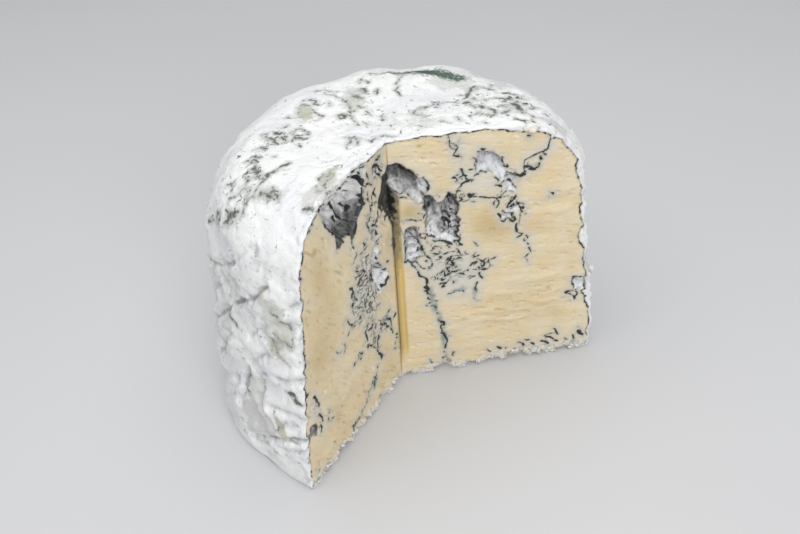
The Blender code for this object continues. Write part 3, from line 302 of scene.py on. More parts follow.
# Hollows: depth (below zero: a ledge that stands up from the floor to this depth), tilt of the floor in
# degrees, how light its deep end and its shallow end are (painted shade over the lining's own grey), how
# bluish, outline
RIGHT_HOLLOWS = (
    (5.5, 70, 0.08, 0.36, 0.1, (0, 98.4, 2.5, 98.6, 4, 98.2, 5.1, 97, 6, 95.9, 7.3, 95.6, 8.1, 94,
     8.7, 92.3, 9.7, 91.6, 11.3, 92, 12.4, 90.2, 13.3, 88.3, 12.7, 86.2, 11.5, 84.6, 10.6, 81.8, 9, 82,
     7.6, 84, 5.6, 86.3, 3.8, 86.9, 1.4, 87.6, 0.4, 89.5, 0, 91)),
    (-1.2, 60, 0.50, 0.80, 0.2, (0.2, 91.3, 3.6, 90.7, 6, 89, 8, 87, 9.6, 85.4, 11, 84, 10.6, 81.8, 9, 82,
     7.6, 84, 5.6, 86.3, 3.8, 86.9, 1.4, 87.6, 0.4, 89.5)),
    (-2.0, 90, 0.56, 0.84, 0.7, (9.4, 90.8, 11, 91.4, 12.2, 90, 12.9, 88.4, 12.4, 86.6, 11.4, 85.4,
     10.6, 86.4, 10.2, 88.4)),
    (6.0, 75, 0.20, 0.46, 0.2, (11.2, 84.6, 13.5, 84.2, 14.6, 82.6, 15.5, 81, 17, 80.8, 18.6, 81.6,
     20, 83.9, 21.8, 83.3, 22.4, 81.5, 22.9, 80.2, 23.6, 78.4, 22.7, 76, 22.5, 74.4, 23.8, 72.3,
     23.3, 70.2, 22.5, 68, 22.3, 66, 23.7, 64, 23.9, 61.1, 22.6, 61.7, 20.4, 62.6, 18.5, 63.5, 16, 64.7,
     14.5, 66.5, 12.5, 67.6, 11.6, 70, 11.2, 73, 12.4, 77, 10.8, 79, 11.3, 82)),
    (-1.0, 70, 0.86, 1.0, 0.2, (11.8, 70.5, 14.5, 71.3, 15.5, 69.5, 16.2, 67.5, 17, 66.4, 19, 66, 21, 65,
     22.3, 63.2, 20.2, 63.5, 18.5, 64.6, 16.5, 65.3, 14.5, 67, 12.4, 68)),
    (-1.6, 90, 0.50, 0.80, 0.3, (19.2, 79, 21.4, 79.6, 22.4, 77, 21.8, 74.4, 22.6, 71.6, 22, 68.6,
     20.4, 67.4, 19.4, 70, 20.2, 73, 19, 76)),
    (2.6, 90, 0.36, 0.56, 0.5, (4.2, 70, 5, 71.6, 6.2, 72.1, 8.2, 71.6, 9.5, 69, 9.4, 66.5, 9.9, 64,
     9.7, 62, 10.5, 60, 9.5, 58.4, 8.2, 57, 6.8, 56.3, 5, 57.1, 3.8, 57.3, 3.9, 60, 4, 64, 3.8, 67)),
    (4.2, 78, 0.56, 1.0, 0.7, (30.2, 98.8, 31.6, 99.4, 32.4, 98.5, 34.8, 97.7, 37.2, 95.6, 38.2, 94.4,
     38.8, 92, 40, 90.6, 40.6, 89, 39.6, 87.3, 38.8, 86.2, 37.4, 87, 36.2, 89.3, 35, 90.2, 32.2, 90.3,
     31.2, 90.7, 29.4, 89.6, 29.2, 92, 30.2, 95.2, 29.6, 96.8)),
    (1.3, 80, 0.70, 0.86, 0.5, (40.2, 88.6, 43, 88.2, 43.6, 86.6, 42.6, 83.8, 43.3, 81.2, 40.2, 81.4,
     38.9, 83.6, 40, 85.6)),
    (2.2, 80, 0.55, 0.80, 0.4, (68, 37.8, 70.4, 37, 72.2, 37.4, 73.2, 34, 72.8, 30.8, 70, 31.1, 68.2, 32,
     67.2, 34.6)),
    (1.2, 85, 0.62, 0.82, 0.3, (40.8, 75.2, 42.4, 77.2, 43.8, 76, 46.4, 75, 46.3, 73.4, 44.8, 72.4,
     42.6, 72, 40.4, 72.8)),
    (0.8, 85, 0.7, 0.85, 0.5, (38.2, 72, 40, 71.9, 42.2, 71.4, 42.2, 70.6, 40.6, 70.2, 38.8, 69.8)),
    (0.9, 85, 0.7, 0.86, 0.3, (14.6, 49.2, 16, 50.4, 17.4, 49.6, 17.2, 48.2, 16, 47.9)),
)
LEFT_HOLLOWS = (
    (7.0, 82, 1.25, -0.16, 0.0, (13.2, 106.2, 20, 105.8, 28, 104.9, 34, 104.4, 38.2, 104.9, 37.4, 102,
     36.8, 99.4, 35.8, 96.8, 34, 94, 32.4, 92.3, 32, 89, 32.2, 86.4, 30.4, 85.4, 28.9, 87.3, 25.2, 87.5,
     24, 86, 23.7, 83, 22.6, 84.6, 21.2, 86.8, 20.4, 89.2, 18.6, 90.2, 15.8, 92.2, 16.3, 96, 15.4, 100)),
    (0.4, 82, 0.72, 0.72, 0.0, (13, 110, 13, 105.4, 20, 105, 28, 104, 34, 103.6, 38.6, 104, 40, 108)),
    (3.6, 70, 0.56, 1.0, 0.5, (9, 62.5, 10.4, 66, 12.6, 66.6, 14.1, 64.3, 14.4, 61.5, 13.4, 58.6,
     12.3, 57, 12.4, 54, 12.2, 52.3, 10.4, 51.4, 9.4, 53.4, 7.8, 54.6, 5.4, 55.3, 4.8, 57.2, 6.2, 59.2)),
    (2.2, 80, 0.10, 0.32, 0.4, (54, 26, 55, 28.2, 57, 28.6, 58.2, 28.2, 58.4, 26.4, 60, 26.6, 59.4, 24.6,
     58.2, 22.8, 57, 23.8, 56, 22.2, 55, 21.9, 54.5, 24)),
    (0.9, 85, 0.40, 0.60, 0.3, (9.4, 79.6, 12.4, 80.4, 13.4, 77.4, 12.4, 75, 10.4, 75, 9.7, 77)),
    (0.8, 85, 0.45, 0.62, 0.1, (5.6, 39, 8, 38.8, 10, 38.4, 10.4, 36.8, 8.4, 35.4, 6.6, 34.2, 5, 34.6,
     5.8, 36.6)),
    (0.8, 80, 0.55, 0.75, 0.3, (10, 73.6, 12.6, 73.4, 13.6, 71, 13.6, 68.6, 12.4, 67, 10.4, 66.8, 10, 69)),
)
# Pale ridges that stand up in the linings of the right cut: place, half-axes, rise
RIGHT_RIDGES = (
    (5.8, 67.6, 1.5, 0.8, 1.0), (7.4, 64.5, 2.4, 0.8, 1.1), (7.4, 61.6, 2.5, 0.7, 1.1),
    (6.6, 58.9, 2.6, 0.8, 1.1), (17.2, 74.6, 1.1, 1.4, 0.9), (14, 74.6, 0.8, 2.4, 0.5),
    (19.8, 71.4, 1, 1, 0.8), (17.6, 79, 2.2, 0.7, 0.7),
)
# Black mould that fills the corner
RIGHT_SOOT = (
    -1, 98, 0.9, 94, 0.7, 91, 0.4, 89.6, 1.3, 87, 2, 85, 1.6, 81, 2.1, 78.4, 1.2, 77, 0.3, 73, 0.1, 70,
    0.8, 68, 0.6, 65, 0, 63, -1, 63,
)
LEFT_SOOT = (
    -1, 98.6, 1.4, 97.6, 4, 96.4, 4.8, 93.4, 5, 91.4, 7.2, 89.4, 7.8, 86.8, 6.4, 84.8, 5.9, 83.6,
    4.6, 83.8, 3.4, 81.6, 4.2, 79.6, 2.2, 80.2, 1, 77.6, 0.4, 73, 0.2, 70, 0.9, 67.6, 0.5, 64, 0, 62,
    -1, 62,
)
# Tints of the paste: place, half-axes, how much yellower (or, below zero, how much paler and greyer)
RIGHT_TINTS = (
    (7, 78, 4.6, 4.6, 1.2), (17, 85.6, 3, 1.4, 0.6), (10.4, 104.2, 1, 0.8, 1.2),
    (12, 101.3, 1.2, 0.8, 0.5), (50, 64, 12, 9, 0.35), (45, 28, 22, 10, 0.4), (35, 69, 9, 9, 0.85),
    (62, 20, 10, 9, 0.2), (22, 99, 18, 7, -0.14), (54, 97, 6, 3, -0.5), (24, 45, 10, 13, -0.75),
    (34, 86, 6, 4, -0.7), (16, 55, 9, 8, -0.6), (42, 76, 5, 5, -0.5), (24, 103, 3.5, 5, -0.5),
    (25, 90, 4, 5, -0.7), (66, 50, 5, 16, 0.3), (70, 20, 4, 10, -0.35), (29, 12, 12, 6, 0.2),
    (72, 45, 2.5, 6, -0.7), (46, 91, 4, 4, -0.3), (57.6, 34.6, 1.1, 0.9, 0.9), (57, 55, 0.7, 1.1, -0.8),
    (8, 50, 1.4, 0.8, 0.6), (6, 31, 4, 9, -0.1),
)
LEFT_TINTS = (
    (42, 84, 6, 12, 0.55), (42, 60, 12, 16, 0.5), (42, 20, 12, 14, 0.35), (50, 52, 6, 8, 0.45),
    (43.6, 93, 1.3, 1.4, 1.1), (18, 60, 9, 18, -0.75), (11, 36, 8, 8, -0.5), (28, 56, 6, 9, -0.4),
    (55, 34, 3.5, 6, -0.7), (7, 101, 6, 7, -0.6), (12, 85, 6, 5, -0.4), (28, 84, 5, 4, -0.35),
    (4, 70, 4, 8, 0.55), (19, 14, 4, 5, -0.5),
)
# Blue and green stains beside the veins: place, half-axes, strength
RIGHT_STAINS = (
    (17, 17, 1.5, 6, 0.9), (15.6, 28, 1.4, 4, 0.7), (12.6, 40, 1.6, 6, 0.7), (14.2, 33.6, 1.2, 3, 0.7),
    (23, 40.6, 3.6, 1.2, 0.75), (29, 38.6, 1.3, 3, 0.7), (44, 86, 2.4, 2, 0.5),
    (50.5, 90, 3.5, 3.5, 0.35), (22, 102, 1, 1.6, 0.5), (24, 105, 1.2, 1.6, 0.3),
    (47.5, 90.5, 1.5, 1, 0.5), (52.6, 94.8, 1.4, 1.1, 0.55), (39.6, 71.4, 1.6, 1, 0.35),
    (18, 8, 2, 2.4, 0.35), (45.6, 75, 1, 1, 0.4), (8.6, 51, 1.2, 3, 0.35),
)
LEFT_STAINS = (
    (19, 14.5, 2, 3.4, 0.9), (28.6, 51.2, 1.6, 1.2, 0.6), (24.6, 51, 1.6, 1, 0.35), (15, 97, 2, 4, 0.4),
    (8.4, 37, 2.6, 2, 0.5), (5, 35, 1.2, 2.4, 0.35),
)

# Breaks in the lower edge of the cuts: distance from the corner, half length, height, depth
RIGHT_CHIPS = (
    (3.0, 3.0, 2.0, 2.4), (16.5, 5.0, 4.4, 3.6), (27.0, 4.0, 2.4, 2.6), (36.0, 4.0, 3.2, 3.0),
    (47.5, 5.0, 3.8, 3.4), (56.0, 3.5, 2.0, 2.4), (66.0, 4.0, 1.8, 2.2),
)
LEFT_CHIPS = (
    (4.0, 3.5, 2.4, 2.6), (14.0, 3.8, 6.6, 4.2), (24.0, 4.5, 2.0, 2.4), (33.0, 4.0, 2.8, 2.8),
    (42.0, 5.0, 3.0, 3.0), (52.0, 4.0, 2.0, 2.4),
)
# Where the right cut is wrinkled: place, half-axes, strength
WRINKLES = (
    (56, 70, 12, 12, 0.45), (44, 26, 20, 9, 1.4), (12, 98, 10, 8, 0.6), (52, 42, 14, 9, 0.6),
    (66, 60, 6, 20, 0.3), (8, 14, 8, 8, 0.5),
)
KNIFE_STEP = (3.2, 7, 96, 0.9)          # the strip beside the corner: width, lowest, highest point, depth
FISSURE = (87, 11, 3.2)                 # crack in the corner: height of its middle, half length, depth
CORNER_POCKET = (90.5, 98.6, 3.2)       # hollow in the corner: lowest, highest point, depth

VEIN_WIDTH = (0.28, 0.16)               # half of a vein's drawn width, from its listed width and the square
STROKE_WIDTH = (0.5, 0.0)               # the same for the marks of the rind
INK_REACH = 9.0                         # how far from a vein its distance is worked out
RING_SHARE = 0.22                       # of the scattered flecks, those that are small rings
CELL = 0.38                             # grid of the cut faces
LEFT_LENGTH = 64.0                      # how far that grid goes from the corner, and how high
RIGHT_LENGTH = 78.0
FACE_TOP = 110.0
FACE_SHARE = 0.95                       # of the paste's map, the part for what is in sight
BEYOND_CORNER = -3                      # where an outline that is open at the corner is closed
PASTE_GAP = 0.35                        # from the outline of a cut to the paste's border, under the lip
PASTE_BACK = 10.0                       # how far the paste reaches behind the cuts
HIDDEN_INSET = 2.2                      # how far in from a cut's outline the hidden walls lie
EDGE_REACH = 14                         # how far behind a cut the rind gives way to the breaks in the paste
SKEW_REACH = 3                          # how far from the corner the sideways shift fades out
LIP_RADIUS = 0.6                        # rounding of the rind over the edge of the cut
LIP_LEAST = 0.8                         # how far that fold reaches over the paste, at least and at most
LIP_MOST = 2.1
# The fold, ring by ring: share of its reach, and depth behind the face
LIP_RINGS = ((0.09, 0.18), (0.3, 0.0), (0.52, -0.14), (0.76, -0.02), (0.92, 0.7), (1.0, 2.5))
LIP_DEEPEST = 8.6                       # and the depth that no ring goes below
WALL_DEPTH = 8.3                        # of the rind's hidden wall behind a cut
RIND_COLUMNS = 344                      # of points, round the rind
RIND_STEP = 0.8                         # between the points down the rind
FOOT_ROWS = 6                           # points round the foot of the profile, and across the base
BASE_ROWS = 34
CORE = (20, 72)                         # stretch of the axis that the rind swells away from
FOLD_SLANT = math.radians(42)           # of the fine folds round the side
ROUND_PER_DEGREE = 1.17                 # millimetres of the wheel's side

# Places on the top are x and y from the corner. On the side they are the azimuth round the corner in
# degrees and the way down from the middle of the top along the rind. Strokes: width, then the line.
TOP_STROKES = (
    (1.2, -32, -3.4, -36, -5.5, -39, -7.6, -41, -9.6, -43, -12.4),
    (0.6, -43, -12.4, -46, -14.6, -48.6, -17), (1.1, -43.6, -0.4, -43, -3.2, -42.4, -5),
    (0.6, -42.4, -5, -41.4, -8.8), (0.4, -52, -8, -48, -9, -44, -9.6),
    (0.5, -45, -10.4, -46.4, -13.6, -44, -15), (1.2, -53.6, -12, -52, -14, -50.6, -15.2),
    (0.8, -41.6, -15, -40, -17, -38.4, -18.6, -36.8, -19), (0.8, -57, -6, -55.4, -8),
    (0.6, -50, -3, -51, -5), (0.6, -52, -1, -51, -2), (1, -45.6, 5, -44.4, 4, -43.4, 2),
    (1, -42.5, 5.6, -41, 4.4), (1, -40, 10.2, -39.4, 8), (0.6, -41.8, 10.4, -41, 10.8),
    (0.6, -37, 3, -36, 2.4), (0.9, -39, 19.6, -38, 18, -38.6, 16.4, -37, 15, -36, 13.2),
    (1.3, -34.6, 17.6, -33.6, 16, -32.4, 16.6), (0.9, -31.6, 20.6, -30.4, 22), (1.2, -36, 12, -35, 10),
    (1, -33.6, 13.6, -32.2, 11.6, -31.4, 14), (1, -29.6, 10.6, -28.4, 12, -26, 10, -24.8, 10.6),
    (1, -28.6, 7.6, -28, 6.4),
    (0.6, -29.4, 16, -28.4, 18.4, -26, 18, -24.4, 15.6, -25, 13, -27.4, 12.4, -29, 14, -29.4, 16),
    (0.8, -30.6, 29, -30, 28),
    (0.6, -26, 27, -26, 32, -25, 35, -23, 35.2, -21.2, 33, -20.6, 30, -19, 27, -18.4, 24.6, -20.6, 22.4),
    (1, -20.6, 38, -19.4, 37, -20, 35, -18.4, 34), (0.5, -23.6, 38, -22.8, 39), (0.8, -15, 34, -14.6, 32),
    (1, -13, 24, -11.4, 24, -10.4, 22.6, -11, 21, -12.6, 20.8, -13, 24), (0.8, -7.6, 24.6, -7, 23.4),
    (0.4, -18, 47, -17, 45.4, -15, 46, -13.4, 43, -11.4, 42),
    (0.5, -14.6, 41, -12.4, 40, -11.4, 37, -9.4, 34, -8.4, 30, -8, 27, -9, 24, -8.4, 18, -7.4, 13),
    (0.4, -12.6, 6, -11, 5, -11.4, 2, -13, 1, -13, -1), (0.4, -10, 5.6, -9, 3, -9.6, 0),
    (1, -30, -28, -28, -29, -26.4, -30), (1, -1, 50, -2, 48), (0.8, 0, 47, 1, 45),
    (1.1, -2.2, 42, -1, 39), (1, -5, 36, -3, 33), (0.9, -5, 28, -4.4, 25.4), (0.7, -3, 22, -2.4, 20),
    (0.6, -5, 15, -4, 13), (0.5, 1, 18, 1.6, 15), (0.4, -6, 2, -5, 1, -3, 3, 0, 3.6, 2.6, 2),
    (1.3, 3, 38.4, 2.6, 36), (0.8, 3, 54, 4, 52, 6, 51.6), (0.9, 11, 51, 13, 53, 15, 52, 17, 51),
    (0.5, 10.6, 50, 12, 48.6, 16, 49.6), (0.5, 13, 46, 10.4, 41, 9.6, 36, 10.4, 31),
    (1, 31, 28, 33, 27, 35, 30, 37, 33.6, 39, 36), (1.2, 41, 33, 42.4, 31, 43, 29.4),
    (0.8, 44, 36, 43.6, 33.4), (0.9, 32, 24.6, 34, 27.4), (0.9, 34.6, 24, 35, 21.6),
    (0.8, 38, 21.2, 38.2, 20), (1.2, 42, 21.6, 44, 20.6, 44, 18.6, 46, 18.8),
    (1, 46, 25, 48, 26, 50, 25.6, 51, 26.6), (1.1, 48, 24, 50, 23, 49.4, 21), (1, 51.6, 22.6, 52, 21),
    (0.5, 53, 26, 54.6, 24, 57, 23), (1.1, 53, 14.6, 54.6, 16), (0.8, 50.6, 12.6, 52, 13),
    (0.6, 49.6, 17, 50, 15), (1.8, 45.4, 14.6, 47, 13.6, 46.4, 11.4, 47.6, 10.4), (1.2, 41, 9, 43, 10),
    (0.8, 41.6, 15, 42.4, 13), (0.8, 34.6, 17, 35, 15, 35.2, 13.6), (0.7, 31.6, 18.6, 32.6, 17, 32.8, 15),
    (0.9, 37, 13, 38.4, 12, 38, 9, 36, 7, 34, 10), (0.6, 29.6, 10, 31, 11, 33, 11.6),
    (0.5, 24.6, 10, 25.6, 9, 26, 7), (0.5, 20, 8, 22, 6), (0.5, 33, 5, 34, 3.6),
    (1.1, 43.6, 4, 45, 2.6, 46.4, 3, 46, 1.4), (0.4, 49, 3, 49.6, 5, 51, 8),
    (0.8, 31, 21, 32, 22, 32, 19.6), (0.2, -17, -11, -19.6, -13, -20.4, -16.4),
    (0.2, -18.4, -17, -20, -19.6, -22.6, -20.4), (0.2, -25, -20, -24, -23.4, -21.4, -24.4),
    (0.2, -22, -13.6, -23.4, -16.6, -22.8, -18.6), (0.5, 20, 19, 22, 22, 25, 23.6, 28, 23, 29, 22),
    (0.6, 12, 16, 13, 19, 15.6, 20, 17, 20.6, 20, 22), (0.4, 13, 16, 15, 14), (0.5, 45, 68, 49, 64.6),
    (0.5, 50, 62, 52, 61.6),
)
TOP_FLECKS = (
    (-20, -15, 4, 5, 0, 0.30), (-23.6, -22, 5, 4, 0, 0.30), (-29, -28, 4, 3, 0, 0.25),
    (-35, 14, 8, 6, 20, 0.9), (-27, 14, 5, 6, 0, 0.6), (-45, -3, 5, 6, 0, 0.6),
    (-50, -13, 5, 4, -30, 0.6), (-39, -17, 5, 3, -30, 0.45), (-42, 5, 4, 5, 0, 0.5),
    (-20, 36, 4, 4, 0, 0.7), (-15, 45, 5, 3, 0, 0.6), (-12, 23, 3, 3, 0, 0.4), (-2, 40, 4, 12, 0, 0.7),
    (0, 20, 6, 9, 0, 0.55), (10, 10, 8, 8, 0, 0.4), (22, 20, 12, 5, 10, 0.55), (35, 12, 8, 8, 0, 0.8),
    (36, 29, 5, 6, -30, 0.8), (47, 18, 7, 10, 0, 0.95), (28, 45, 8, 5, 0, 0.6), (30, 73, 12, 4, -20, 0.8),
    (46, 66, 5, 4, -40, 0.6), (6, 52, 5, 3, 0, 0.6), (54, 8, 4, 6, 0, 0.4), (-22, -20, 5, 7, 0, 0.45),
    (14, 52, 7, 3, 0, 0.6), (-60, -2, 3, 9, 0, 0.35), (3, 3, 8, 3, 0, 0.4),
)
TOP_WASH = (
    (26.4, 38.8, 6, 4, -8, 0.95), (36.6, 44, 3.4, 3, 0, 0.8), (13, 53, 7, 1.6, -10, 0.8),
    (-25, 26, 4, 7, 0, 0.7), (-20, -18, 5, 6, 0, 0.8), (-26, -25, 6, 4, 0, 0.8), (-5, 37, 4, 13, 0, 0.9),
    (11, 9, 7, 7, 0, 0.5), (14, 18, 4, 4, 0, 0.6), (46, 12, 4, 6, 0, 0.8), (38, 9, 5, 5, 0, 0.5),
    (5, 75, 6, 4, 0, 0.8), (18, 48, 8, 2.4, 0, 0.9), (34, 40, 6, 4, 0, 0.8), (-39, -17, 5, 3, -30, 0.5),
    (-11, 3, 4, 6, 0, 0.4), (-46, -10, 8, 6, 30, 0.5), (26, 22, 9, 2, 10, 0.5), (37, 32, 4, 5, -30, 0.7),
    (-35, 13, 7, 5, 20, 0.5), (2, 10, 7, 8, 0, 0.35), (44, 68, 4, 2, -50, 0.7), (-10, 26, 3, 12, 0, 0.35),
    (20, 10, 8, 5, 0, 0.3),
)
TOP_MOSS = (
    (25.6, 46.4, 5.8, 3.8, -4, 1.3), (15.6, 51.4, 6, 1.9, -12, 1.0), (33.6, 44.4, 4.4, 3.2, -12, 1.0),
    (10, 51.8, 3, 1.6, 0, 0.7), (21, 48.8, 4, 1.6, -10, 0.5), (34, 71.4, 5, 1.8, -30, 1.0),
    (27, 74, 5, 1.6, -10, 0.9), (18.6, 75, 2.6, 1.4, 0, 0.7), (-1.4, 40, 2.4, 3.4, 0, 0.5),
    (-5, 34, 2, 6, 10, 0.5),
)
TOP_OLIVE = (
    (-23.4, 29, 3, 6.4, 0, 1.1), (-6, 32, 3, 9, 0, 0.6), (-21, -17, 5, 6, 0, 0.45),
    (46, 12, 3, 5, 0, 0.4), (-38, 12, 6, 5, 0, 0.35), (-44, -8, 7, 6, 0, 0.35), (10, 9, 6, 7, 0, 0.35),
    (7, 75, 5, 3, 0, 0.5), (-8, 20, 3, 8, 0, 0.3),
)
SIDE_STROKES = (
    (0.8, 181, 43, 187, 43, 190, 44), (0.6, 185, 46.6, 189, 46), (1.1, 193, 57, 194.6, 56, 196.6, 54.6),
    (0.6, 196.4, 57, 195.4, 60, 193, 59.4, 192.6, 57.6), (1.3, 188, 63.2, 189, 61.6),
    (0.7, 181, 69, 184, 66), (0.3, 184, 66, 190, 64), (0.9, 223, 41, 225, 40.6, 227.4, 40),
    (0.6, 201, 41, 204, 41.6, 208, 42, 210, 43.4), (0.5, 201, 45.4, 204, 44), (1, 197, 92.4, 200.6, 95.4),
    (0.6, 219, 77, 222.6, 80, 227, 81), (0.4, 220.6, 84.4, 223, 86.6, 227.4, 88),
    (0.4, 218, 89, 221, 92.6, 225, 96), (2.6, 223.8, 108.6, 225, 108.2), (2.4, 226, 110, 227.6, 111),
    (1.2, 213.6, 143, 214.6, 142.6), (1.1, 208, 141.4, 208.6, 140.6),
    (0.4, 217.4, 128.6, 219.6, 125.6, 221.6, 122.6), (0.4, 205, 111.6, 203.6, 117, 205, 122),
    (0.6, 224.4, 122, 225.4, 121.6), (0.5, 191, 115.4, 192.4, 114), (0.4, 213, 106, 215.4, 104.4),
    (0.5, 226.4, 88.6, 228, 84),
)
# Folds of the side, pressed into it, their depth also darkening the colour as painted shade: depth, width,
# line
SIDE_FOLDS = (
    (1.0, 1.5, 200.6, 70.6, 197, 73.6, 194, 76, 190, 79, 186, 82, 180, 86, 172, 91),
    (0.6, 1.4, 212, 59, 208, 62, 205, 65, 201, 70),
    (1.3, 1.6, 217, 69, 213.6, 72, 211.6, 75, 210, 78, 207, 80, 203, 84, 200, 86.6, 197, 90, 195.6, 93,
     192.6, 96.6, 190, 99, 187, 103, 184, 107, 178, 114),
    (1.1, 1.7, 229, 127, 223, 130, 218, 133, 213, 137, 208, 141, 203, 145),
    (0.8, 1.5, 229, 131.4, 222, 136, 218, 138.4),
    (1.0, 1.6, 214.4, 142.6, 211, 142.4, 208, 145, 203, 148.4), (0.9, 1.8, 228, 79, 223.6, 80.6, 219, 82),
    (0.8, 1.8, 224, 88, 219.6, 90, 215, 89), (0.8, 2, 229, 71, 225, 74, 221, 78),
    (1.0, 1.6, 205.4, 110.6, 203.4, 117, 202, 124, 199.6, 131),
    (0.7, 1.6, 211.4, 110, 211, 116, 209.6, 121, 211.6, 126, 215, 130),
    (0.8, 2, 216, 96, 211.6, 101, 207, 106), (0.7, 1.8, 229, 101, 223.6, 103.4, 218, 105),
    (0.7, 1.8, 229, 117.6, 222, 118.4, 214, 121), (0.8, 2, 196, 103, 192, 110, 188.6, 116, 184, 124),
    (0.8, 2, 199, 120, 196, 128, 193.4, 136), (0.6, 1.6, 216, 84, 211, 90, 206.6, 96),
    (0.7, 2, 187, 90, 183, 94, 178, 100),
)
SIDE_FLECKS = (
    (183, 44, 8, 3, 0, 0.6), (194, 57, 5, 4, 0, 0.8), (205, 42, 7, 3, 0, 0.6), (226, 41, 3, 2, 0, 0.8),
    (188, 63, 3, 3, 0, 0.6), (182, 68, 4, 4, 0, 0.5), (225, 110, 4, 3.4, 0, 0.7), (178, 54, 6, 5, 0, 0.5),
    (222, 84, 8, 8, 0, 0.15), (186, 118, 5, 5, 0, 0.3),
)
SIDE_OLIVE = (
    (223, 83, 7, 7, 0, 0.55), (216, 73, 7, 4, 20, 0.5), (220, 91, 6, 5, 30, 0.5),
    (219.4, 126.6, 1.9, 5.4, -38, 1.6), (225, 33, 5, 6, 0, 0.45), (217, 24, 6, 4, 0, 0.6),
    (197, 95, 5, 3, 0, 0.5), (209, 66, 5, 5, 0, 0.3), (221, 97, 6, 5, 0, 0.3), (190, 84, 10, 4, 40, 0.3),
)
SIDE_GREY = (
    (223, 82, 8, 6, 0, 0.8), (220, 91, 7, 5, 30, 0.8), (216, 75, 8, 4, 20, 0.5),
    (208.4, 117, 3.6, 9, 0, 1.4), (207, 131, 8, 6, 0, 1.1), (213, 132, 6, 4, 0, 0.8),
    (205, 140, 6, 4, 0, 0.5), (205, 42, 6, 3, 0, 0.5), (196, 99, 5, 3, 30, 0.5),
    (188, 108, 8, 4, 45, 0.5), (196, 84, 9, 2.5, 35, 0.7), (186, 86, 9, 5, 35, 0.5),
    (194, 100, 4, 9, -35, 0.6), (222, 112, 4, 3, 0, 0.4), (198, 76, 10, 3, 35, 0.7),
    (214, 61, 8, 4, 20, 0.5), (210, 84, 7, 3, 30, 0.5), (220, 70, 5, 5, 0, 0.3), (205, 92, 6, 9, 0, 0.3),
)
HIDDEN_SEED = 5                         # marks of the side that the photograph doesn't show
HIDDEN_PATCHES = 16
HIDDEN_FOLDS = 22

# Crumbs: count, smallest and largest size, seed. Scraps of the right cut: distance from the corner, height,
# size, and how far out they stand
PASTE_CRUMBS = (260, 0.22, 0.85, 11)
PASTE_SCRAPS = ((48.4, 104.9, 2.1, 0.7), (46.3, 105.4, 1.0, 0.5))
RIND_CRUMBS = (300, 0.22, 0.95, 12)
RIND_SCRAPS = ((74.0, 41.0, 1.7, 0.2), (73.2, 38.4, 1.3, 0.2))
CRUMB_BAND = 3.4                        # how high above the foot the crumbs lie
CRUMB_LIFT = 0.05                       # least gap under them
CRUMBS_ON_RIGHT = 0.62                  # share of them that lies on the right cut

# What differs between the cuts. Of the nets, where they start, how softly, and how strongly they tint the
# face; of the painted shade beside the corner and of the torn foot, how much wider they get.
RIGHT_CUT = SimpleNamespace(
    side=1, way=RIGHT_WAY, into=RIGHT_IN, veins=RIGHT_VEINS, nets=RIGHT_NETS, rim=RIGHT_RIM,
    hollows=RIGHT_HOLLOWS, soot_and_shade=RIGHT_SOOT, tints=RIGHT_TINTS, stains=RIGHT_STAINS, chips=RIGHT_CHIPS,
    seed=5, flecks=80, net_tint=(0.7, 0.3, 0.9), shade=2.6, torn=1.6, crumb_length=74,
)
LEFT_CUT = SimpleNamespace(
    side=-1, way=LEFT_WAY, into=LEFT_IN, veins=LEFT_VEINS, nets=LEFT_NETS, rim=LEFT_RIM,
    hollows=LEFT_HOLLOWS, soot_and_shade=LEFT_SOOT, tints=LEFT_TINTS, stains=LEFT_STAINS, chips=LEFT_CHIPS,
    seed=6, flecks=60, net_tint=(0.25, 0.35, 1.0), shade=0.4, torn=0.0, crumb_length=60,
)
CUTS = (RIGHT_CUT, LEFT_CUT)

# Floor, lamps and sky, in metres
FLOOR_HALF = 3.0
FLOOR_GAP = 0.0001
FLOOR_COLOUR = (0.62, 0.62, 0.63, 1)
FLOOR_ROUGH = 0.9
SKY_COLOUR = (0.93, 0.96, 1.0, 1)
SKY_STRENGTH = 0.2
LIGHT_AIM = (0, 0, 0.06)
LIGHTS = (                              # name, place, size, power
    ("overhead", (-0.05, 0.0, 0.95), 1.5, 9.0), ("front", (0.10, -0.95, 0.60), 0.8, 5.8),
    ("left", (-0.85, -0.30, 0.75), 0.6, 0.8),
)

LENS_PIXELS = 887.073                   # focal length of the photograph, in pixels of its 800
IMAGE_WIDTH = 800
IMAGE_HEIGHT = 534
CAMERA_DISTANCE = 316.799               # from the middle of the corner's edge, millimetres
CAMERA_RISE = math.radians(39.2)
CAMERA_SIDE = math.radians(-7.99)
CAMERA_ROLL = math.radians(-3.672)
AIM_PIXEL = (395.53, 270.721)           # where the middle of the corner's edge is in the picture
SENSOR = 36.0
NEAREST_SEEN = 0.01                     # metres


# ---------------------------------------------------------------- small tools

def smooth(value):
    """0 below 0, 1 above 1, and a smooth step between."""
    t = np.clip(value, 0, 1)
    return t * t * (3 - 2 * t)


def bump(distance, size):
    """1 at no distance, and falling off like a bell."""
    return np.exp(-(distance / size) ** 2)


def wobble(points, size):
    """Smooth noise between about -1 and 1, of the given size, at each 3-D point.

    Where a number is added to the points, it only picks another pattern of the same kind.
    """
    return np.array([noise.noise(Vector(p)) for p in np.asarray(points) / size])


def pairs(flat):
    """(x, y, x, y, ...) as an array of points."""
    return np.array(flat, float).reshape(-1, 2)


def stretches(points, line):
    """For each stretch of a line: its start, and the step from there to the place closest to each point."""
    for start, end in zip(line[:-1], line[1:]):
        step = end - start
        share = np.clip((points - start) @ step / max(step @ step, TINY), 0, 1)
        yield start, share[:, None] * step


def line_distance(points, line):
    """Distance from each 2-D point to a line through the given points."""
    best = np.full(len(points), np.inf)
    for start, step in stretches(points, line):
        away = points - start - step
        best = np.minimum(best, np.hypot(away[:, 0], away[:, 1]))
    return best


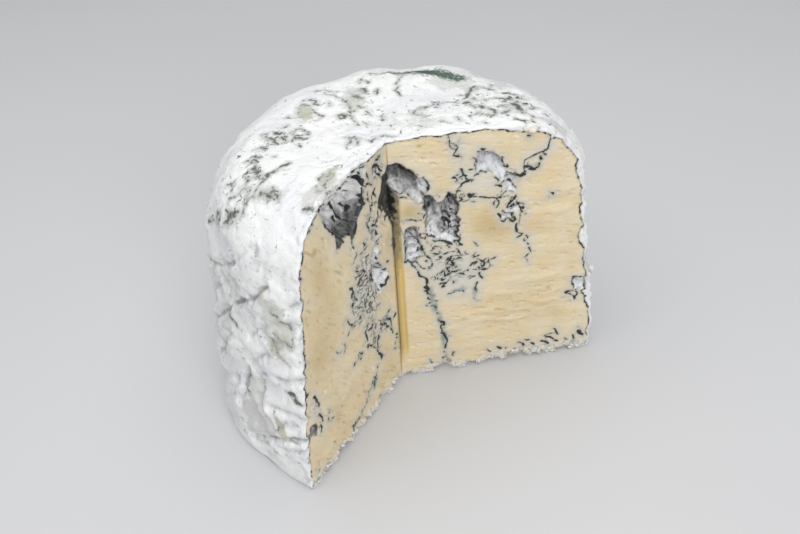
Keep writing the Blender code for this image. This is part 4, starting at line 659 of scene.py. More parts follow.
def nearest_on(points, line):
    """The closest place on a line to each 2-D point."""
    best = np.full(len(points), np.inf)
    spots = np.zeros_like(points)
    for start, step in stretches(points, line):
        places = start + step
        away = np.linalg.norm(points - places, axis=1)
        closer = away < best
        best[closer] = away[closer]
        spots[closer] = places[closer]
    return spots


def inside(points, outline):
    """Which 2-D points lie within the closed outline."""
    found = np.zeros(len(points), bool)
    for (ax, ay), (bx, by) in zip(outline, np.roll(outline, -1, axis=0)):
        if ay == by:
            continue
        crossed = (ay > points[:, 1]) != (by > points[:, 1])
        found ^= crossed & (points[:, 0] < ax + (points[:, 1] - ay) * (bx - ax) / (by - ay))
    return found


def closed_off(line):
    """A line round a cut, from the corner's top to its foot, closed beyond the corner."""
    return np.vstack([line, [[BEYOND_CORNER, line[-1, 1]], [BEYOND_CORNER, line[0, 1]]]])


def depth_within(points, outline):
    """Distance from a closed outline, positive within it."""
    away = line_distance(points, np.vstack([outline, outline[:1]]))
    return np.where(inside(points, outline), away, -away)


def depth_behind(points, line):
    """Distance from a line round a cut, positive on the corner's side of it."""
    away = line_distance(points, line)
    return np.where(inside(points, closed_off(line)), away, -away)


def ink_distance(points, veins, widths):
    """Distance from each point to the edge of the nearest vein, below zero within one."""
    best = np.full(len(points), INK_REACH)
    for width, *flat in veins:
        line = pairs(flat)
        near = np.all((points > line.min(0) - INK_REACH) & (points < line.max(0) + INK_REACH), axis=1)
        away = line_distance(points[near], line) - width * (widths[0] + widths[1] * width)
        best[near] = np.minimum(best[near], away)
    return best


def patches(points, places):
    """Sum of soft ovals: place, half-axes, a slant in degrees for those that have one, and strength."""
    total = np.zeros(len(points))
    for x, y, half_x, half_y, *slant, strength in places:
        angle = math.radians(slant[0]) if slant else 0.0
        dx = points[:, 0] - x
        dy = points[:, 1] - y
        across = (dx * math.cos(angle) + dy * math.sin(angle)) / half_x
        up = (dy * math.cos(angle) - dx * math.sin(angle)) / half_y
        total += strength * np.exp(-(across ** 2 + up ** 2))
    return total


def linked(name, data):
    """A new object in the scene."""
    made = bpy.data.objects.new(name, data)
    bpy.context.scene.collection.objects.link(made)
    return made


def smooth_object(shape, mesh):
    """Writes a bmesh into a mesh, and gives its smooth-shaded object."""
    shape.to_mesh(mesh)
    shape.free()
    mesh.shade_smooth()
    return linked(mesh.name, mesh)


def build_mesh(name, vertices, faces, attributes):
    """An object, from millimetres, with one number per vertex for each named attribute."""
    mesh = bpy.data.meshes.new(name)
    mesh.from_pydata((np.asarray(vertices) * MM).tolist(), [], faces)
    for label, values in attributes.items():
        layer = mesh.attributes.new(label, "FLOAT", "POINT")
        layer.data.foreach_set("value", np.asarray(values, np.float32))
    shape = bmesh.new()
    shape.from_mesh(mesh)
    bmesh.ops.triangulate(shape, faces=[face for face in shape.faces if len(face.verts) > 4])
    bmesh.ops.recalc_face_normals(shape, faces=list(shape.faces))
    return smooth_object(shape, mesh)


def paint_uv(obj, coordinates):
    """Writes the map that the finish is baked on, one place per vertex."""
    layer = obj.data.uv_layers.new(name="OFBake")
    corners = np.empty(len(obj.data.loops), np.int32)
    obj.data.loops.foreach_get("vertex_index", corners)
    layer.data.foreach_set("uv", np.asarray(coordinates, np.float32)[corners].ravel())


# ---------------------------------------------------------------- the wheel's own shape

def side_share(z):
    """The wheel's radius at a height, as a share of the mean."""
    rise = z / HEIGHT
    return 1 + FLARE * (0.5 - rise) + BELLY * 4 * rise * (1 - rise)


def wheel_profile():
    """Half outline of the moulded wheel, from the top's middle to the base's, as radius and height.

    Also gives the number of its points down to the edge of the base.
    """
    shoulder_z = HEIGHT - DOME - SHOULDER_DROP
    flat_r = side_share(shoulder_z) * RADIUS - SHOULDER_OUT
    points = [(flat_r * share, HEIGHT - DOME * share ** 2) for share in np.arange(0, 1, RIND_STEP / flat_r)]
    arc = math.pi / 2 * (SHOULDER_OUT + SHOULDER_DROP) / 2
    for turn in np.linspace(0, math.pi / 2, round(arc / RIND_STEP)):
        points.append((flat_r + SHOULDER_OUT * math.sin(turn), shoulder_z + SHOULDER_DROP * math.cos(turn)))
    for z in np.linspace(shoulder_z, BASE_ROUND, round(shoulder_z / RIND_STEP))[1:]:
        points.append((side_share(z) * RADIUS, z))
    base_r = side_share(BASE_ROUND) * RADIUS - BASE_ROUND
    for turn in np.linspace(0, math.pi / 2, FOOT_ROWS)[1:]:
        points.append((base_r + BASE_ROUND * math.cos(turn), BASE_ROUND * (1 - math.sin(turn))))
    rim_rows = len(points)
    for share in np.linspace(1, 0, BASE_ROWS)[1:]:
        points.append((base_r * share, 0.0))
    return np.array(points), rim_rows


def settled(theta, radius, z):
    """The settled wheel: azimuth round the corner, moulded radius and height, to places from the corner."""
    shift = CORNER / RADIUS
    ahead = shift[0] * np.cos(theta) + shift[1] * np.sin(theta)
    reach = radius * (np.sqrt(ahead ** 2 + 1 - shift @ shift) - ahead)
    spread = 1 + EGG * np.cos(2 * (theta - EGG_TURN)) + TRIANGLE * np.cos(3 * theta)
    reach = reach * spread * (1 + z / HEIGHT * LEAN * np.sin(theta))
    x = reach * np.cos(theta)
    y = reach * np.sin(theta)
    return np.stack([x, y, z * (1 + TOP_TILT * y / HEIGHT)], -1)


def from_middle(points):
    """0 in the middle of the top, 1 out on the shoulder and the side."""
    return smooth((np.hypot(points[:, 0], points[:, 1]) - 30) / 20)


def from_axis(points):
    """Points given from the corner, given from the wheel's own axis instead."""
    return points + np.array([CORNER[0], CORNER[1], 0])


def swelling(points):
    """How far the rind stands out at each point, given from the corner."""
    x, y, z = points.T
    rise = sum(height * wobble(from_axis(points), length) for length, height in WAVES)
    rim = from_middle(points)
    for azimuth, height, size, out in LUMPS:
        angle = math.radians(azimuth)
        ahead = x * math.cos(angle) + y * math.sin(angle)
        across = x * math.sin(angle) - y * math.cos(angle)
        rise = rise + np.where(ahead > 0, out * rim * bump(np.hypot(across, z - height), size), 0)
    high = smooth((z - 80) / 12)
    for east, north, size, out in TOP_LUMPS:
        rise = rise + out * high * bump(np.hypot(x - east, y - north), size)
    return rise


def crumple(points, around, creases):
    """The finer relief of the rind: soft pillows and slanting folds on the side, a fine crinkle on top."""
    z = points[:, 2]
    side = smooth((104 - z) / 22) * from_middle(points)
    along = around * math.cos(FOLD_SLANT) + z * math.sin(FOLD_SLANT)
    across = z * math.cos(FOLD_SLANT) - around * math.sin(FOLD_SLANT)
    wander = wobble(points, 14)
    folds = wobble(np.stack([along / 21, across / 8 + wander * 0.7, np.full(len(z), 3.0)], 1), 1)
    small = wobble(np.stack([along / 9, across / 3.4 + wander, np.full(len(z), 8.0)], 1), 1)
    sharp = -np.clip(0.22 - np.abs(folds), 0, 1) * 4.5 - np.clip(0.14 - np.abs(small), 0, 1) * 1.2
    rise = side * (sharp * 0.65 + 1.7 * wobble(points + 40, 13) + 0.16 * wobble(points + 60, 5))
    rise += 0.06 * wobble(points + 90, 2.4)
    cracks = np.clip(0.12 - np.abs(wobble(points + 7, 6.5)), 0, 1) * 4
    rise += (1 - side) * (0.50 * wobble(points + 33, 9) + 0.30 * wobble(points + 20, 4.2) - 0.8 * cracks)
    return rise - creases


def outward(points):
    """The way the rind swells at each point, given from the corner."""
    world = from_axis(points)
    core = np.zeros_like(world)
    core[:, 2] = np.clip(world[:, 2], *CORE)
    way = world - core
    way[:, 2] *= smooth(world[:, 2] / 12)
    return way / np.maximum(np.linalg.norm(way, axis=1), TINY)[:, None]


# ---------------------------------------------------------------- the cut faces

def pushed(along, height, side, depth):
    """Points of the cut faces, moved in behind their planes."""
    right = (np.asarray(side) > 0)[:, None]
    way = np.where(right, RIGHT_CUT.way, LEFT_CUT.way)
    into = np.where(right, RIGHT_CUT.into, LEFT_CUT.into)
    slide = along - depth * SKEW * (1 - smooth(along / SKEW_REACH))
    flat = CORNER + way * slide[:, None] + into * depth[:, None]
    return np.column_stack([flat, height])


def corner_depth(height):
    """Depth in the corner itself, where both cuts meet."""
    middle, half_length, deep = FISSURE
    crack = deep * smooth((1.2 - np.abs(height - middle) / half_length) / 0.7)
    low, high, sunk = CORNER_POCKET
    pocket = sunk * smooth((height - low) / 1.5) * smooth((high - height) / 1.5)
    return np.maximum(crack, pocket)


def chip_depth(along, height, side):
    """Depth of the breaks along the lower edge."""
    places = np.stack([along / 4, side * 5.0, height / 4], 1)
    ragged = wobble(places, 1) + 0.5 * wobble(places, 0.35)
    depth = np.zeros(len(along))
    for cut in CUTS:
        for middle, half_length, tall, deep in cut.chips:
            away = np.hypot((along - middle) / half_length, np.maximum(height, 0) / tall)
            found = deep * smooth((1.15 + 0.6 * ragged - away) / 0.6)
            depth = np.where(side == cut.side, np.maximum(depth, found), depth)
    torn = smooth((4.2 + 2.5 * ragged - height) / 1.4)
    grain = wobble(places * 4, 1) + 0.6 * wobble(places * 4, 0.5)
    return depth + torn * (0.5 * grain + 1.1 * ragged - 0.55)


def hollow_field(points, cut):
    """Depth, lining (0 to 1), tone (painted shade over the grey lining) and blueness of the hollows at one
    cut.
    """
    depth = np.zeros(len(points))
    lining = np.zeros(len(points))
    tone = np.full(len(points), 0.8)
    blue = np.zeros(len(points))
    ragged = 0.35 * wobble(np.column_stack([points, np.full(len(points), cut.side * 9.0)]), 1.6)
    for deep, tilt, dark, light, bluish, flat in cut.hollows:
        outline = pairs(flat)
        angle = math.radians(tilt)
        way = np.array([math.cos(angle), math.sin(angle)])
        reach = outline @ way
        away = depth_within(points, outline) + ragged
        up = np.clip((points @ way - reach.min()) / (reach.max() - reach.min()), 0, 1)
        if deep < 0:
            depth += (np.minimum(depth, -deep) - depth) * smooth(away / 0.9 + 0.2)
        else:
            wall = smooth(away / min(1.4, deep / 2 + 0.5))
            depth = np.maximum(depth, deep * wall * (0.16 + 0.84 * smooth(up * 1.15)))
        here = away > -0.25
        lining = np.maximum(lining, smooth((away + 0.35) / 0.5))
        # the tone is painted shade: darker towards the deep end under the overhang, lighter on the ledge,
        # over the lining's own grey
        tone = np.where(here, light + (dark - light) * smooth(up * 1.25 - 0.1), tone)
        blue = np.where(here, bluish, blue)
    return depth, lining, tone, blue


def face_depth(along, height, side):
    """Depth of each face point, with the hollows' lining, tone (painted shade) and blueness."""
    points = np.stack([along, height], 1)
    depth, lining, tone, blue = (np.zeros(len(along)) for _ in range(4))
    for cut in CUTS:
        here = side == cut.side
        depth[here], lining[here], tone[here], blue[here] = hollow_field(points[here], cut)
    right = side > 0
    width, low, high, deep = KNIFE_STEP
    strip = smooth(width - along) * smooth((height - low) / 12) * smooth((high - height) / 4)
    depth = np.maximum(depth, np.where(right, deep * strip, 0))
    depth = np.maximum(depth, chip_depth(along, height, side))

    def pattern(number, long, tall, up=height, size=1):
        """Noise, long along the face and tall up it; each number gives another one."""
        return wobble(np.stack([along / long, up / tall, side * number], 1), size)

    wrinkled = np.where(right, patches(points, WRINKLES), 0.5 + 0.4 * smooth((62 - height) / 20))
    slanted = height + np.where(right, 0.15, -1.1) * along
    knife = pattern(3.0, 20, 7)
    small = pattern(7.0, 6.5, 2.1, slanted)
    ripple = pattern(11.0, 11, 4.2, slanted)
    nicks = np.clip(pattern(17.0, 2.6, 1.2, slanted) - 0.34, 0, 1) * 2.2
    lumps = pattern(20.0, 1, 1, size=3.1)
    rough = pattern(40.0, 1, 1, size=1.5) + 0.6 * pattern(50.0, 1, 1, size=0.8)
    pleats = np.abs(pattern(60.0, 4.2, 1.9))
    ridges = np.where(right, patches(points, RIGHT_RIDGES), 0) * lining
    depth = depth + 0.35 * knife + (0.10 + 0.55 * wrinkled) * ripple + (0.08 + 0.30 * wrinkled) * small
    depth = depth + (0.6 + wrinkled) * nicks + 0.10 * lumps
    depth = depth + lining * (0.5 * rough + 1.5 * pleats) - 0.9 * ridges
    meet = smooth(along / 2.2)
    return corner_depth(height) * (1 - meet) + depth * meet, lining, tone + 0.42 * ridges, blue


def fleck_lines(cut):
    """Short flecks scattered beside the longer veins."""
    draw = random.Random(cut.seed)
    weights = [len(vein) for vein in cut.veins]
    made = []
    for vein in draw.choices(cut.veins, weights=weights, k=cut.flecks):
        line = pairs(vein[1:])
        index = draw.randrange(len(line) - 1)
        spot = line[index] + (line[index + 1] - line[index]) * draw.random()
        turn = draw.uniform(0, math.pi * 2)
        spot = spot + np.array([math.cos(turn), math.sin(turn)]) * draw.uniform(0.7, 2.6)
        turn = draw.uniform(0, math.pi)
        step = np.array([math.cos(turn), math.sin(turn)]) * draw.uniform(0.2, 0.7)
        made.append((draw.uniform(0.25, 0.5), *(spot - step), *(spot + step)))
    return made


def net_lines(cut):
    """Short wandering flecks, and small rings among them, scattered over oval zones."""
    draw = random.Random(cut.seed)
    made = []
    for x, y, half_x, half_y, slant, count in cut.nets:
        for _ in range(count):
            turn = draw.uniform(0, math.tau)
            away = math.sqrt(draw.random())
            spot = np.array([x + half_x * away * math.cos(turn), y + half_y * away * math.sin(turn)])
            if draw.random() < RING_SHARE:
                turns = np.linspace(0, math.tau * draw.uniform(0.6, 1.0), 8) + draw.uniform(0, math.tau)
                size = draw.uniform(0.5, 1.1)
                ring = np.stack([np.cos(turns) * size, np.sin(turns) * size * draw.uniform(0.5, 1.0)], 1)
                line = spot + ring
                width = draw.uniform(0.3, 0.5)
            else:
                line = [spot]
                way = math.radians(slant + draw.uniform(-55, 55))
                for _ in range(draw.choice((1, 1, 2, 3))):
                    way += draw.uniform(-0.9, 0.9)
                    step = np.array([math.cos(way), math.sin(way)])
                    line.append(line[-1] + step * draw.uniform(0.5, 1.1))
                width = draw.uniform(0.3, 0.75)
            made.append((width, *np.ravel(line)))
    return made


def cut_marks(cut, spots, inset):
    """The marks of one cut, at places given as distance from the corner and height."""
    along, height = spots.T
    solid = np.column_stack([spots, np.full(len(spots), cut.side * 30.0)])
    warp = np.stack([wobble(solid, 2.0), wobble(solid + 50, 2.0)], 1) * 0.45
    warp += np.stack([wobble(solid + 9, 0.8), wobble(solid + 70, 0.8)], 1) * 0.22
    bent = spots + warp
    ink = ink_distance(bent, list(cut.veins) + fleck_lines(cut) + net_lines(cut), VEIN_WIDTH)
    in_sight = np.where(height > 6, inset - LIP_LEAST - 0.12, 9) + 0.3 * warp[:, 0]
    within = np.minimum(depth_behind(bent, pairs(cut.rim)), in_sight)
    rim_width = 0.20 + 0.26 * wobble(solid, 2.3)

    warm = patches(spots, cut.tints)
    start, blend, strength = cut.net_tint
    streak = wobble(np.column_stack([along / 0.5, height / 3.0, solid[:, 2]]), 1)
    black = smooth((depth_within(bent, pairs(cut.soot_and_shade)) + 0.5) / 1.1) * (0.84 + 1.0 * streak)
    # painted shade: a band down the corner strip beside the black mould, wider and stronger higher up
    shade_width = 0.5 + cut.shade * smooth((height - 42) / 16)
    shade = smooth((shade_width + 0.4 * streak - along) / 0.9) * smooth((height - 36) / 40)
    # the corner strip, whose colour is partly painted shade and bounced light of the corner
    if cut is RIGHT_CUT:
        strip = smooth((3.3 + 0.4 * wobble(solid, 6) - along) / 0.7) * smooth((height - 5) / 12)
        strip = strip * smooth((81 - height) / 8)
    else:
        strip = smooth((1.3 - along) / 0.7) * smooth((108 - height) / 6)

    ragged = wobble(solid, 5) * 2.4 + wobble(solid + 9, 1.7) * 1.2
    torn = smooth((4.4 + cut.torn * smooth((along - 34) / 14) + ragged - height) / 1.6)
    chunks = wobble(solid, 1.9) + 0.5 * wobble(solid + 30, 0.9)
    return {
        "ink": np.minimum(ink, np.abs(within) - rim_width),
        "haze": np.exp(-(np.maximum(ink, 0) / 2.6) ** 2),
        "rim": -within,
        "warm": warm,
        "net": strength * smooth((-start - warm) / blend),
        "stain": patches(spots, cut.stains),
        # the black mould of the corner, together with the painted shade band down the strip
        "soot_and_shade": np.maximum(black, 0.32 * shade * smooth((88.5 - height) / 2)),
        "strip": strip,
        "torn": torn,
        "flake": torn * chunks,
    }


def paste_marks(points, side, inset):
    """What colours the cut faces, as numbers for the finish, and how the torn foot flakes."""
    marks = {}
    for cut in CUTS:
        here = side == cut.side
        for name, values in cut_marks(cut, points[here], inset[here]).items():
            marks.setdefault(name, np.zeros(len(points)))[here] = values
    return marks


def paste_grid(outlines):
    """Both cut faces as one grid, folded at the corner and trimmed to the rind's outlines.

    Gives each point's side, distance from the corner, height, distance from the outline and place on the
    unfolded sheet, and the squares between the points.
    """
    across = CELL * np.arange(-round(LEFT_LENGTH / CELL), round(RIGHT_LENGTH / CELL) + 1)
    up = np.arange(0, FACE_TOP + CELL / 2, CELL)
    u, height = (grid.ravel() for grid in np.meshgrid(across, up, indexing="ij"))
    side = np.where(u >= 0, 1, -1)
    along = np.abs(u)
    inset = np.empty(len(u))
    for which, outline in outlines.items():
        here = side == which
        inset[here] = depth_behind(np.stack([along[here], height[here]], 1), outline)
    index = np.arange(len(u)).reshape(len(across), len(up))
    good = (inset > PASTE_GAP).reshape(index.shape)
    full = good[:-1, :-1] & good[1:, :-1] & good[1:, 1:] & good[:-1, 1:]
    squares = np.stack([index[:-1, :-1], index[1:, :-1], index[1:, 1:], index[:-1, 1:]], -1)[full]
    used = np.unique(squares)
    renumber = np.full(len(u), -1)
    renumber[used] = np.arange(len(used))
    sheet = np.stack([(u + LEFT_LENGTH) / (LEFT_LENGTH + RIGHT_LENGTH), height / FACE_TOP * FACE_SHARE], 1)
    return side[used], along[used], height[used], inset[used], sheet[used], renumber[squares]


def loop_of_boundary(squares):
    """The boundary's vertices in order, from directed edges that only one square has."""
    starts = squares.ravel()
    ends = np.roll(squares, -1, axis=1).ravel()
    directed = set(zip(starts.tolist(), ends.tolist()))
    follow = {a: b for a, b in directed if (b, a) not in directed}
    start = min(follow)
    loop = [start]
    while follow[loop[-1]] != start:
        loop.append(follow[loop[-1]])
    return loop


def even_border(edge, side, along, height, outlines):
    """Moves the grid's stepped border to an even distance from the rind, and gives its ways inward."""
    inward = np.zeros((len(edge), 2))
    for which, outline in outlines.items():
        here = (side[edge] == which) & (along[edge] > 0)
        spots = np.stack([along[edge], height[edge]], 1)[here]
        closest = nearest_on(spots, outline)
        inward[here] = (spots - closest) / np.linalg.norm(spots - closest, axis=1)[:, None]
        moved = closest + inward[here] * PASTE_GAP
        along[edge[here]] = moved[:, 0]
        height[edge[here]] = moved[:, 1]
    return inward


def closing_faces(loop, count, folds):
    """Walls from the sheet's border to the ring behind it, and the ring's two faces that meet at the fold."""
    size = len(loop)
    ring = [count + index for index in range(size)]
    walls = []
    for index in range(size):
        after = (index + 1) % size
        walls.append([loop[after], loop[index], ring[index], ring[after]])
    first, second = folds
    return walls + [ring[first:second + 1], ring[second:] + ring[:first + 1]]


def make_paste(outlines):
    """The paste: both cut faces in one folded sheet with its hollows, closed behind the cuts."""
    side, along, height, inset, sheet, squares = paste_grid(outlines)
    loop = loop_of_boundary(squares)
    edge = np.array(loop)
    inward = even_border(edge, side, along, height, outlines)
    inset[edge] = PASTE_GAP
    points = np.stack([along, height], 1)

    depth, lining, tone, blue = face_depth(along, height, side)
    look = paste_marks(points, side, inset)
    seam = smooth((0.3 - look["ink"]) / 0.5)
    under_lip = 0.45 * (1 - smooth((inset - PASTE_GAP) / 0.8))
    depth = depth + 0.2 * seam + under_lip + 0.8 * look.pop("flake")
    look.update(lining=lining, tone=tone, bluish=blue, near=along)
    front = pushed(along, height, side, depth)

    on_fold = along[edge] == 0
    inward[on_fold] = np.where(height[edge][on_fold][:, None] > HEIGHT / 2, [0, -1.0], [0, 1.0])
    behind = points[edge] + inward * (HIDDEN_INSET - PASTE_GAP)
    behind[:, 0] = np.where(on_fold, 0, np.maximum(behind[:, 0], 0.02))
    back = pushed(behind[:, 0], behind[:, 1], side[edge], np.full(len(edge), PASTE_BACK))
    faces = squares.tolist() + closing_faces(loop, len(front), np.flatnonzero(on_fold)[[0, -1]])
    marks = {name: np.concatenate([values, values[edge]]) for name, values in look.items()}
    paste = build_mesh("cheese_paste", np.vstack([front, back]), faces, marks)

    turn = np.arange(len(loop)) / len(loop)
    hidden = np.stack([turn, 0.975 + 0.02 * np.cos(turn * 2 * math.pi)], 1)
    paint_uv(paste, np.clip(np.vstack([sheet, hidden]), 0.001, 0.999))
    return paste


# ---------------------------------------------------------------- the rind

def hidden_side():
    """Patches and folds for the side that the photograph doesn't show, of the kinds that are in sight."""
    draw = random.Random(HIDDEN_SEED)
    patch = {"flecks": [], "olive": [], "grey": []}
    for _ in range(HIDDEN_PATCHES):
        for name, share in (("flecks", 0.6), ("olive", 0.6), ("grey", 0.8)):
            place = (draw.uniform(4, 172), draw.uniform(56, 150), draw.uniform(4, 9), draw.uniform(3, 8))
            patch[name].append((*place, draw.uniform(0, 60), share * draw.uniform(0.6, 1.2)))
    folds = []
    for _ in range(HIDDEN_FOLDS):
        turn = draw.uniform(4, 174)
        down = draw.uniform(62, 140)
        reach = draw.uniform(6, 16)
        bend = draw.uniform(-3, 3)
        line = (turn + reach, down - reach, turn + bend, down + bend, turn - reach, down + reach)
        folds.append((draw.uniform(0.45, 0.85), draw.uniform(2.1, 2.9), *line))
    return patch, folds


def rind_marks(points, unrolled):
    """What colours the rind: dark flecks, green, olive and grey patches, strokes, and folds pressed in, with
    painted shade.
    """
    plan = points[:, :2]
    high = smooth((points[:, 2] - 82) / 14)
    stretch = np.array([ROUND_PER_DEGREE, 1.0])
    hidden, hidden_folds = hidden_side()
    places = (
        ("flecks", TOP_FLECKS, SIDE_FLECKS), ("moss", TOP_MOSS, ()), ("olive", TOP_OLIVE, SIDE_OLIVE),
        ("grey", TOP_WASH, SIDE_GREY),
    )
    marks = {}
    for name, above, beside in places:
        rolled = [(turn * ROUND_PER_DEGREE, *rest) for turn, *rest in (*beside, *hidden.get(name, ()))]
        marks[name] = high * patches(plan, above) + patches(unrolled, rolled)
    marks["flecks"] = 1.35 * marks["flecks"] - 0.46 - 0.12 * (1 - high)
    warp = np.stack([wobble(points, 2.2), wobble(points + 50, 2.2)], 1) * 0.9
    on_top = ink_distance(plan + warp, TOP_STROKES, STROKE_WIDTH)
    rolled = [(width, *(pairs(line) * stretch).ravel()) for width, *line in SIDE_STROKES]
    on_side = ink_distance(unrolled + warp, rolled, STROKE_WIDTH)
    marks["stroke"] = np.where(high > 0, np.minimum(on_top, on_side), on_side)
    fold = 0.35 * high * bump(np.maximum(on_top, 0), 1.2)
    lively = 0.85 + 0.55 * wobble(points + 5, 7)
    for depth, width, *line in (*SIDE_FOLDS, *hidden_folds):
        away = line_distance(unrolled + warp * 1.5, pairs(line) * stretch)
        groove = bump(away, width * 0.75) - 0.4 * bump(away - width * 1.7, width * 1.1)
        fold = fold + 1.5 * depth * lively * groove
    marks["fold"] = fold
    return marks


def swollen_wheel(profile, rim_rows, turns):
    """The rind's outside before the edges of the cuts are dressed, and what colours it.

    Gives each point's azimuth round the corner, its distance from the corner, and the point itself.
    """
    rows = len(profile)
    theta = np.repeat(turns, rows)
    points = settled(theta, np.tile(profile[:, 0], len(turns)), np.tile(profile[:, 1], len(turns)))
    steps = np.linalg.norm(np.diff(points.reshape(len(turns), rows, 3), axis=1), axis=2)
    down = np.pad(np.cumsum(steps, axis=1), ((0, 0), (1, 0)))
    unrolled = np.stack([np.degrees(theta) * ROUND_PER_DEGREE, down.ravel()], 1)
    on_base = np.tile(np.arange(rows) >= rim_rows - 1, len(turns))
    low = smooth(points[:, 2] / 4)
    marks = rind_marks(points, unrolled)
    marks["relief"] = crumple(points, unrolled[:, 0], marks["fold"])
    from_cut = np.minimum(theta, TURN - theta) * np.hypot(points[:, 0], points[:, 1])
    frayed = (1 - smooth(from_cut / 5)) * (0.9 * wobble(points + 11, 3.4) + 0.5 * wobble(points + 22, 1.6))
    fine = (marks["relief"] + frayed * smooth(from_cut / 0.1 + 0.8)) * low
    rise = np.where(on_base, 0, swelling(points) + fine)
    way = outward(points)
    way[:, 2] *= low
    points = points + way * rise[:, None]
    reach = np.hypot(points[:, 0], points[:, 1])
    points[:, 0] = reach * np.cos(theta)
    points[:, 1] = reach * np.sin(theta)
    points[on_base, 2] = 0
    apex = np.isin(np.arange(rows), (0, rows - 1))
    points[np.tile(apex, len(turns)), :2] = 0
    return theta, reach, points, marks


def follow_cuts(theta, reach, points):
    """Moves the rind's edges with the breaks in the paste, and back a little to leave room for the fold."""
    shifted = points[:, :2] + CORNER
    for cut, angle in ((RIGHT_CUT, theta), (LEFT_CUT, TURN - theta)):
        near = (angle < math.radians(89)) & (reach * np.sin(angle) < EDGE_REACH)
        behind = reach[near] * np.sin(angle[near])
        along = reach[near] * np.cos(angle[near])
        side = np.full(near.sum(), cut.side)
        depth = np.maximum(face_depth(np.maximum(along, 0), points[near, 2], side)[0], 0)
        move = depth * (1 - smooth(behind / EDGE_REACH)) + LIP_RADIUS * (1 - smooth(behind / 6))
        skew = SKEW * (1 - smooth(along / SKEW_REACH))
        shifted[near] += cut.into * move[:, None] - cut.way * (move * skew)[:, None]
    return np.column_stack([shifted, points[:, 2]])


def lip_cover(cut, outline):
    """How far the rind reaches over a cut, at each point of its outline: as far as the face is white."""
    solid = np.column_stack([outline, np.full(len(outline), 4.0)])
    vary = (wobble(solid, 5.5) + 0.6 * wobble(solid, 2.0)) * smooth(outline[:, 0] / 3)
    white = -depth_within(outline, closed_off(pairs(cut.rim)))
    cover = np.convolve(np.pad(np.clip(white, LIP_LEAST, LIP_MOST), 3, "edge"), np.full(7, 1 / 7), "valid")
    return cover * (1 + 0.12 * vary)


def moved_in(outline, normal, inset):
    """The outline of a cut, moved in: how far its points are from the corner, and their heights."""
    places = outline - normal * inset
    places[:, 0] = np.maximum(places[:, 0], 0)
    places[[0, -1], 0] = 0
    return places.T


def lip_rings(cut, outline):
    """The fold of the rind over a cut's edge, ring by ring, and the ring that closes it behind the cut."""
    step = np.gradient(outline, axis=0)
    step /= np.maximum(np.linalg.norm(step, axis=1), TINY)[:, None]
    normal = np.stack([-step[:, 1], step[:, 0]], 1)
    normal[0] = (0, 1)
    normal[-1] = (0, -1)
    side = np.full(len(outline), cut.side)
    cover = lip_cover(cut, outline)
    rings = []
    for share, sink in LIP_RINGS:
        along, height = moved_in(outline, normal, np.minimum(share * cover, HIDDEN_INSET)[:, None])
        depth = np.maximum(face_depth(along, height, side)[0], 0) + sink
        rings.append(pushed(along, height, side, np.minimum(depth, LIP_DEEPEST)))
    along, height = moved_in(outline, normal, HIDDEN_INSET)
    rings.append(pushed(along, height, side, np.full(len(outline), WALL_DEPTH)))
    return rings


def shell_faces(index):
    """Squares between the columns of the rind, and triangles round the middle of its top and base."""
    faces = []
    last = index.shape[1] - 2
    for a, b in zip(index[:-1], index[1:]):
        faces.append([a[0], a[1], b[1]])
        for row in range(1, last):
            faces.append([a[row], a[row + 1], b[row + 1], b[row]])
        faces.append([a[last], a[last + 1], b[last]])
    return faces


def make_rind():
    """The rind, as one closed shell: top, side and base, folded round the cuts' edges and in behind them.

    Also gives the outline of each cut, as distance from the corner and height.
    """
    profile, rim_rows = wheel_profile()
    rows = len(profile)
    turns = np.linspace(0, TURN, RIND_COLUMNS)
    theta, reach, points, marks = swollen_wheel(profile, rim_rows, turns)
    shell = follow_cuts(theta, reach, points).reshape(RIND_COLUMNS, rows, 3)
    grid = points.reshape(RIND_COLUMNS, rows, 3)
    for row in (0, rows - 1):
        level = grid[0, row, 2:]
        deep = np.maximum(face_depth(np.zeros(1), level, np.ones(1))[0], 0) + LIP_RADIUS
        shell[:, row] = pushed(np.zeros(1), level, np.ones(1), deep)[0]

    index = np.arange(RIND_COLUMNS * rows).reshape(RIND_COLUMNS, rows)
    index[:, 0] = index[0, 0]
    index[:, -1] = index[0, -1]
    faces = shell_faces(index)
    vertices = [shell.reshape(-1, 3)]
    sources = [np.arange(RIND_COLUMNS * rows)]
    count = RIND_COLUMNS * rows
    across = [np.repeat(0.03 + 0.94 * turns / TURN, rows)]
    outlines = {}
    corner_ends = {}
    walls = []
    for cut, column in ((RIGHT_CUT, 0), (LEFT_CUT, RIND_COLUMNS - 1)):
        outline = np.stack([np.hypot(grid[column, :, 0], grid[column, :, 1]), grid[column, :, 2]], 1)
        outlines[cut.side] = outline
        previous = index[column]
        for number, ring in enumerate(lip_rings(cut, outline)):
            current = np.arange(count, count + rows)
            # both cuts share the ends of their rings, which lie on the corner's edge
            current[[0, -1]] = corner_ends.setdefault(number, current[[0, -1]])
            vertices.append(ring)
            sources.append(index[column])
            edge = (number + 1) * 0.004
            across.append(np.full(rows, 0.03 - edge if cut is RIGHT_CUT else 0.97 + edge))
            count += rows
            for row in range(rows - 1):
                faces.append([previous[row], previous[row + 1], current[row + 1], current[row]])
            previous = current
        walls.append(previous)
    faces += walls

    vertices = np.vstack(vertices)
    source = np.concatenate(sources)
    used = np.zeros(len(vertices), bool)
    used[[corner for face in faces for corner in face]] = True
    renumber = np.cumsum(used) - 1
    faces = [[int(renumber[corner]) for corner in face] for face in faces]
    marks = {name: values[source][used] for name, values in marks.items()}
    rind = build_mesh("cheese_rind", vertices[used], faces, marks)
    length = np.concatenate([[0], np.cumsum(np.linalg.norm(np.diff(profile, axis=0), axis=1))])
    squeeze = np.interp(length, [0, length[rim_rows - 1], length[-1]], [0.002, 0.9, 0.998])
    down = np.tile(squeeze, len(vertices) // rows)
    paint_uv(rind, np.stack([np.concatenate(across), down], 1)[used])
    return rind, outlines


# ---------------------------------------------------------------- crumbs

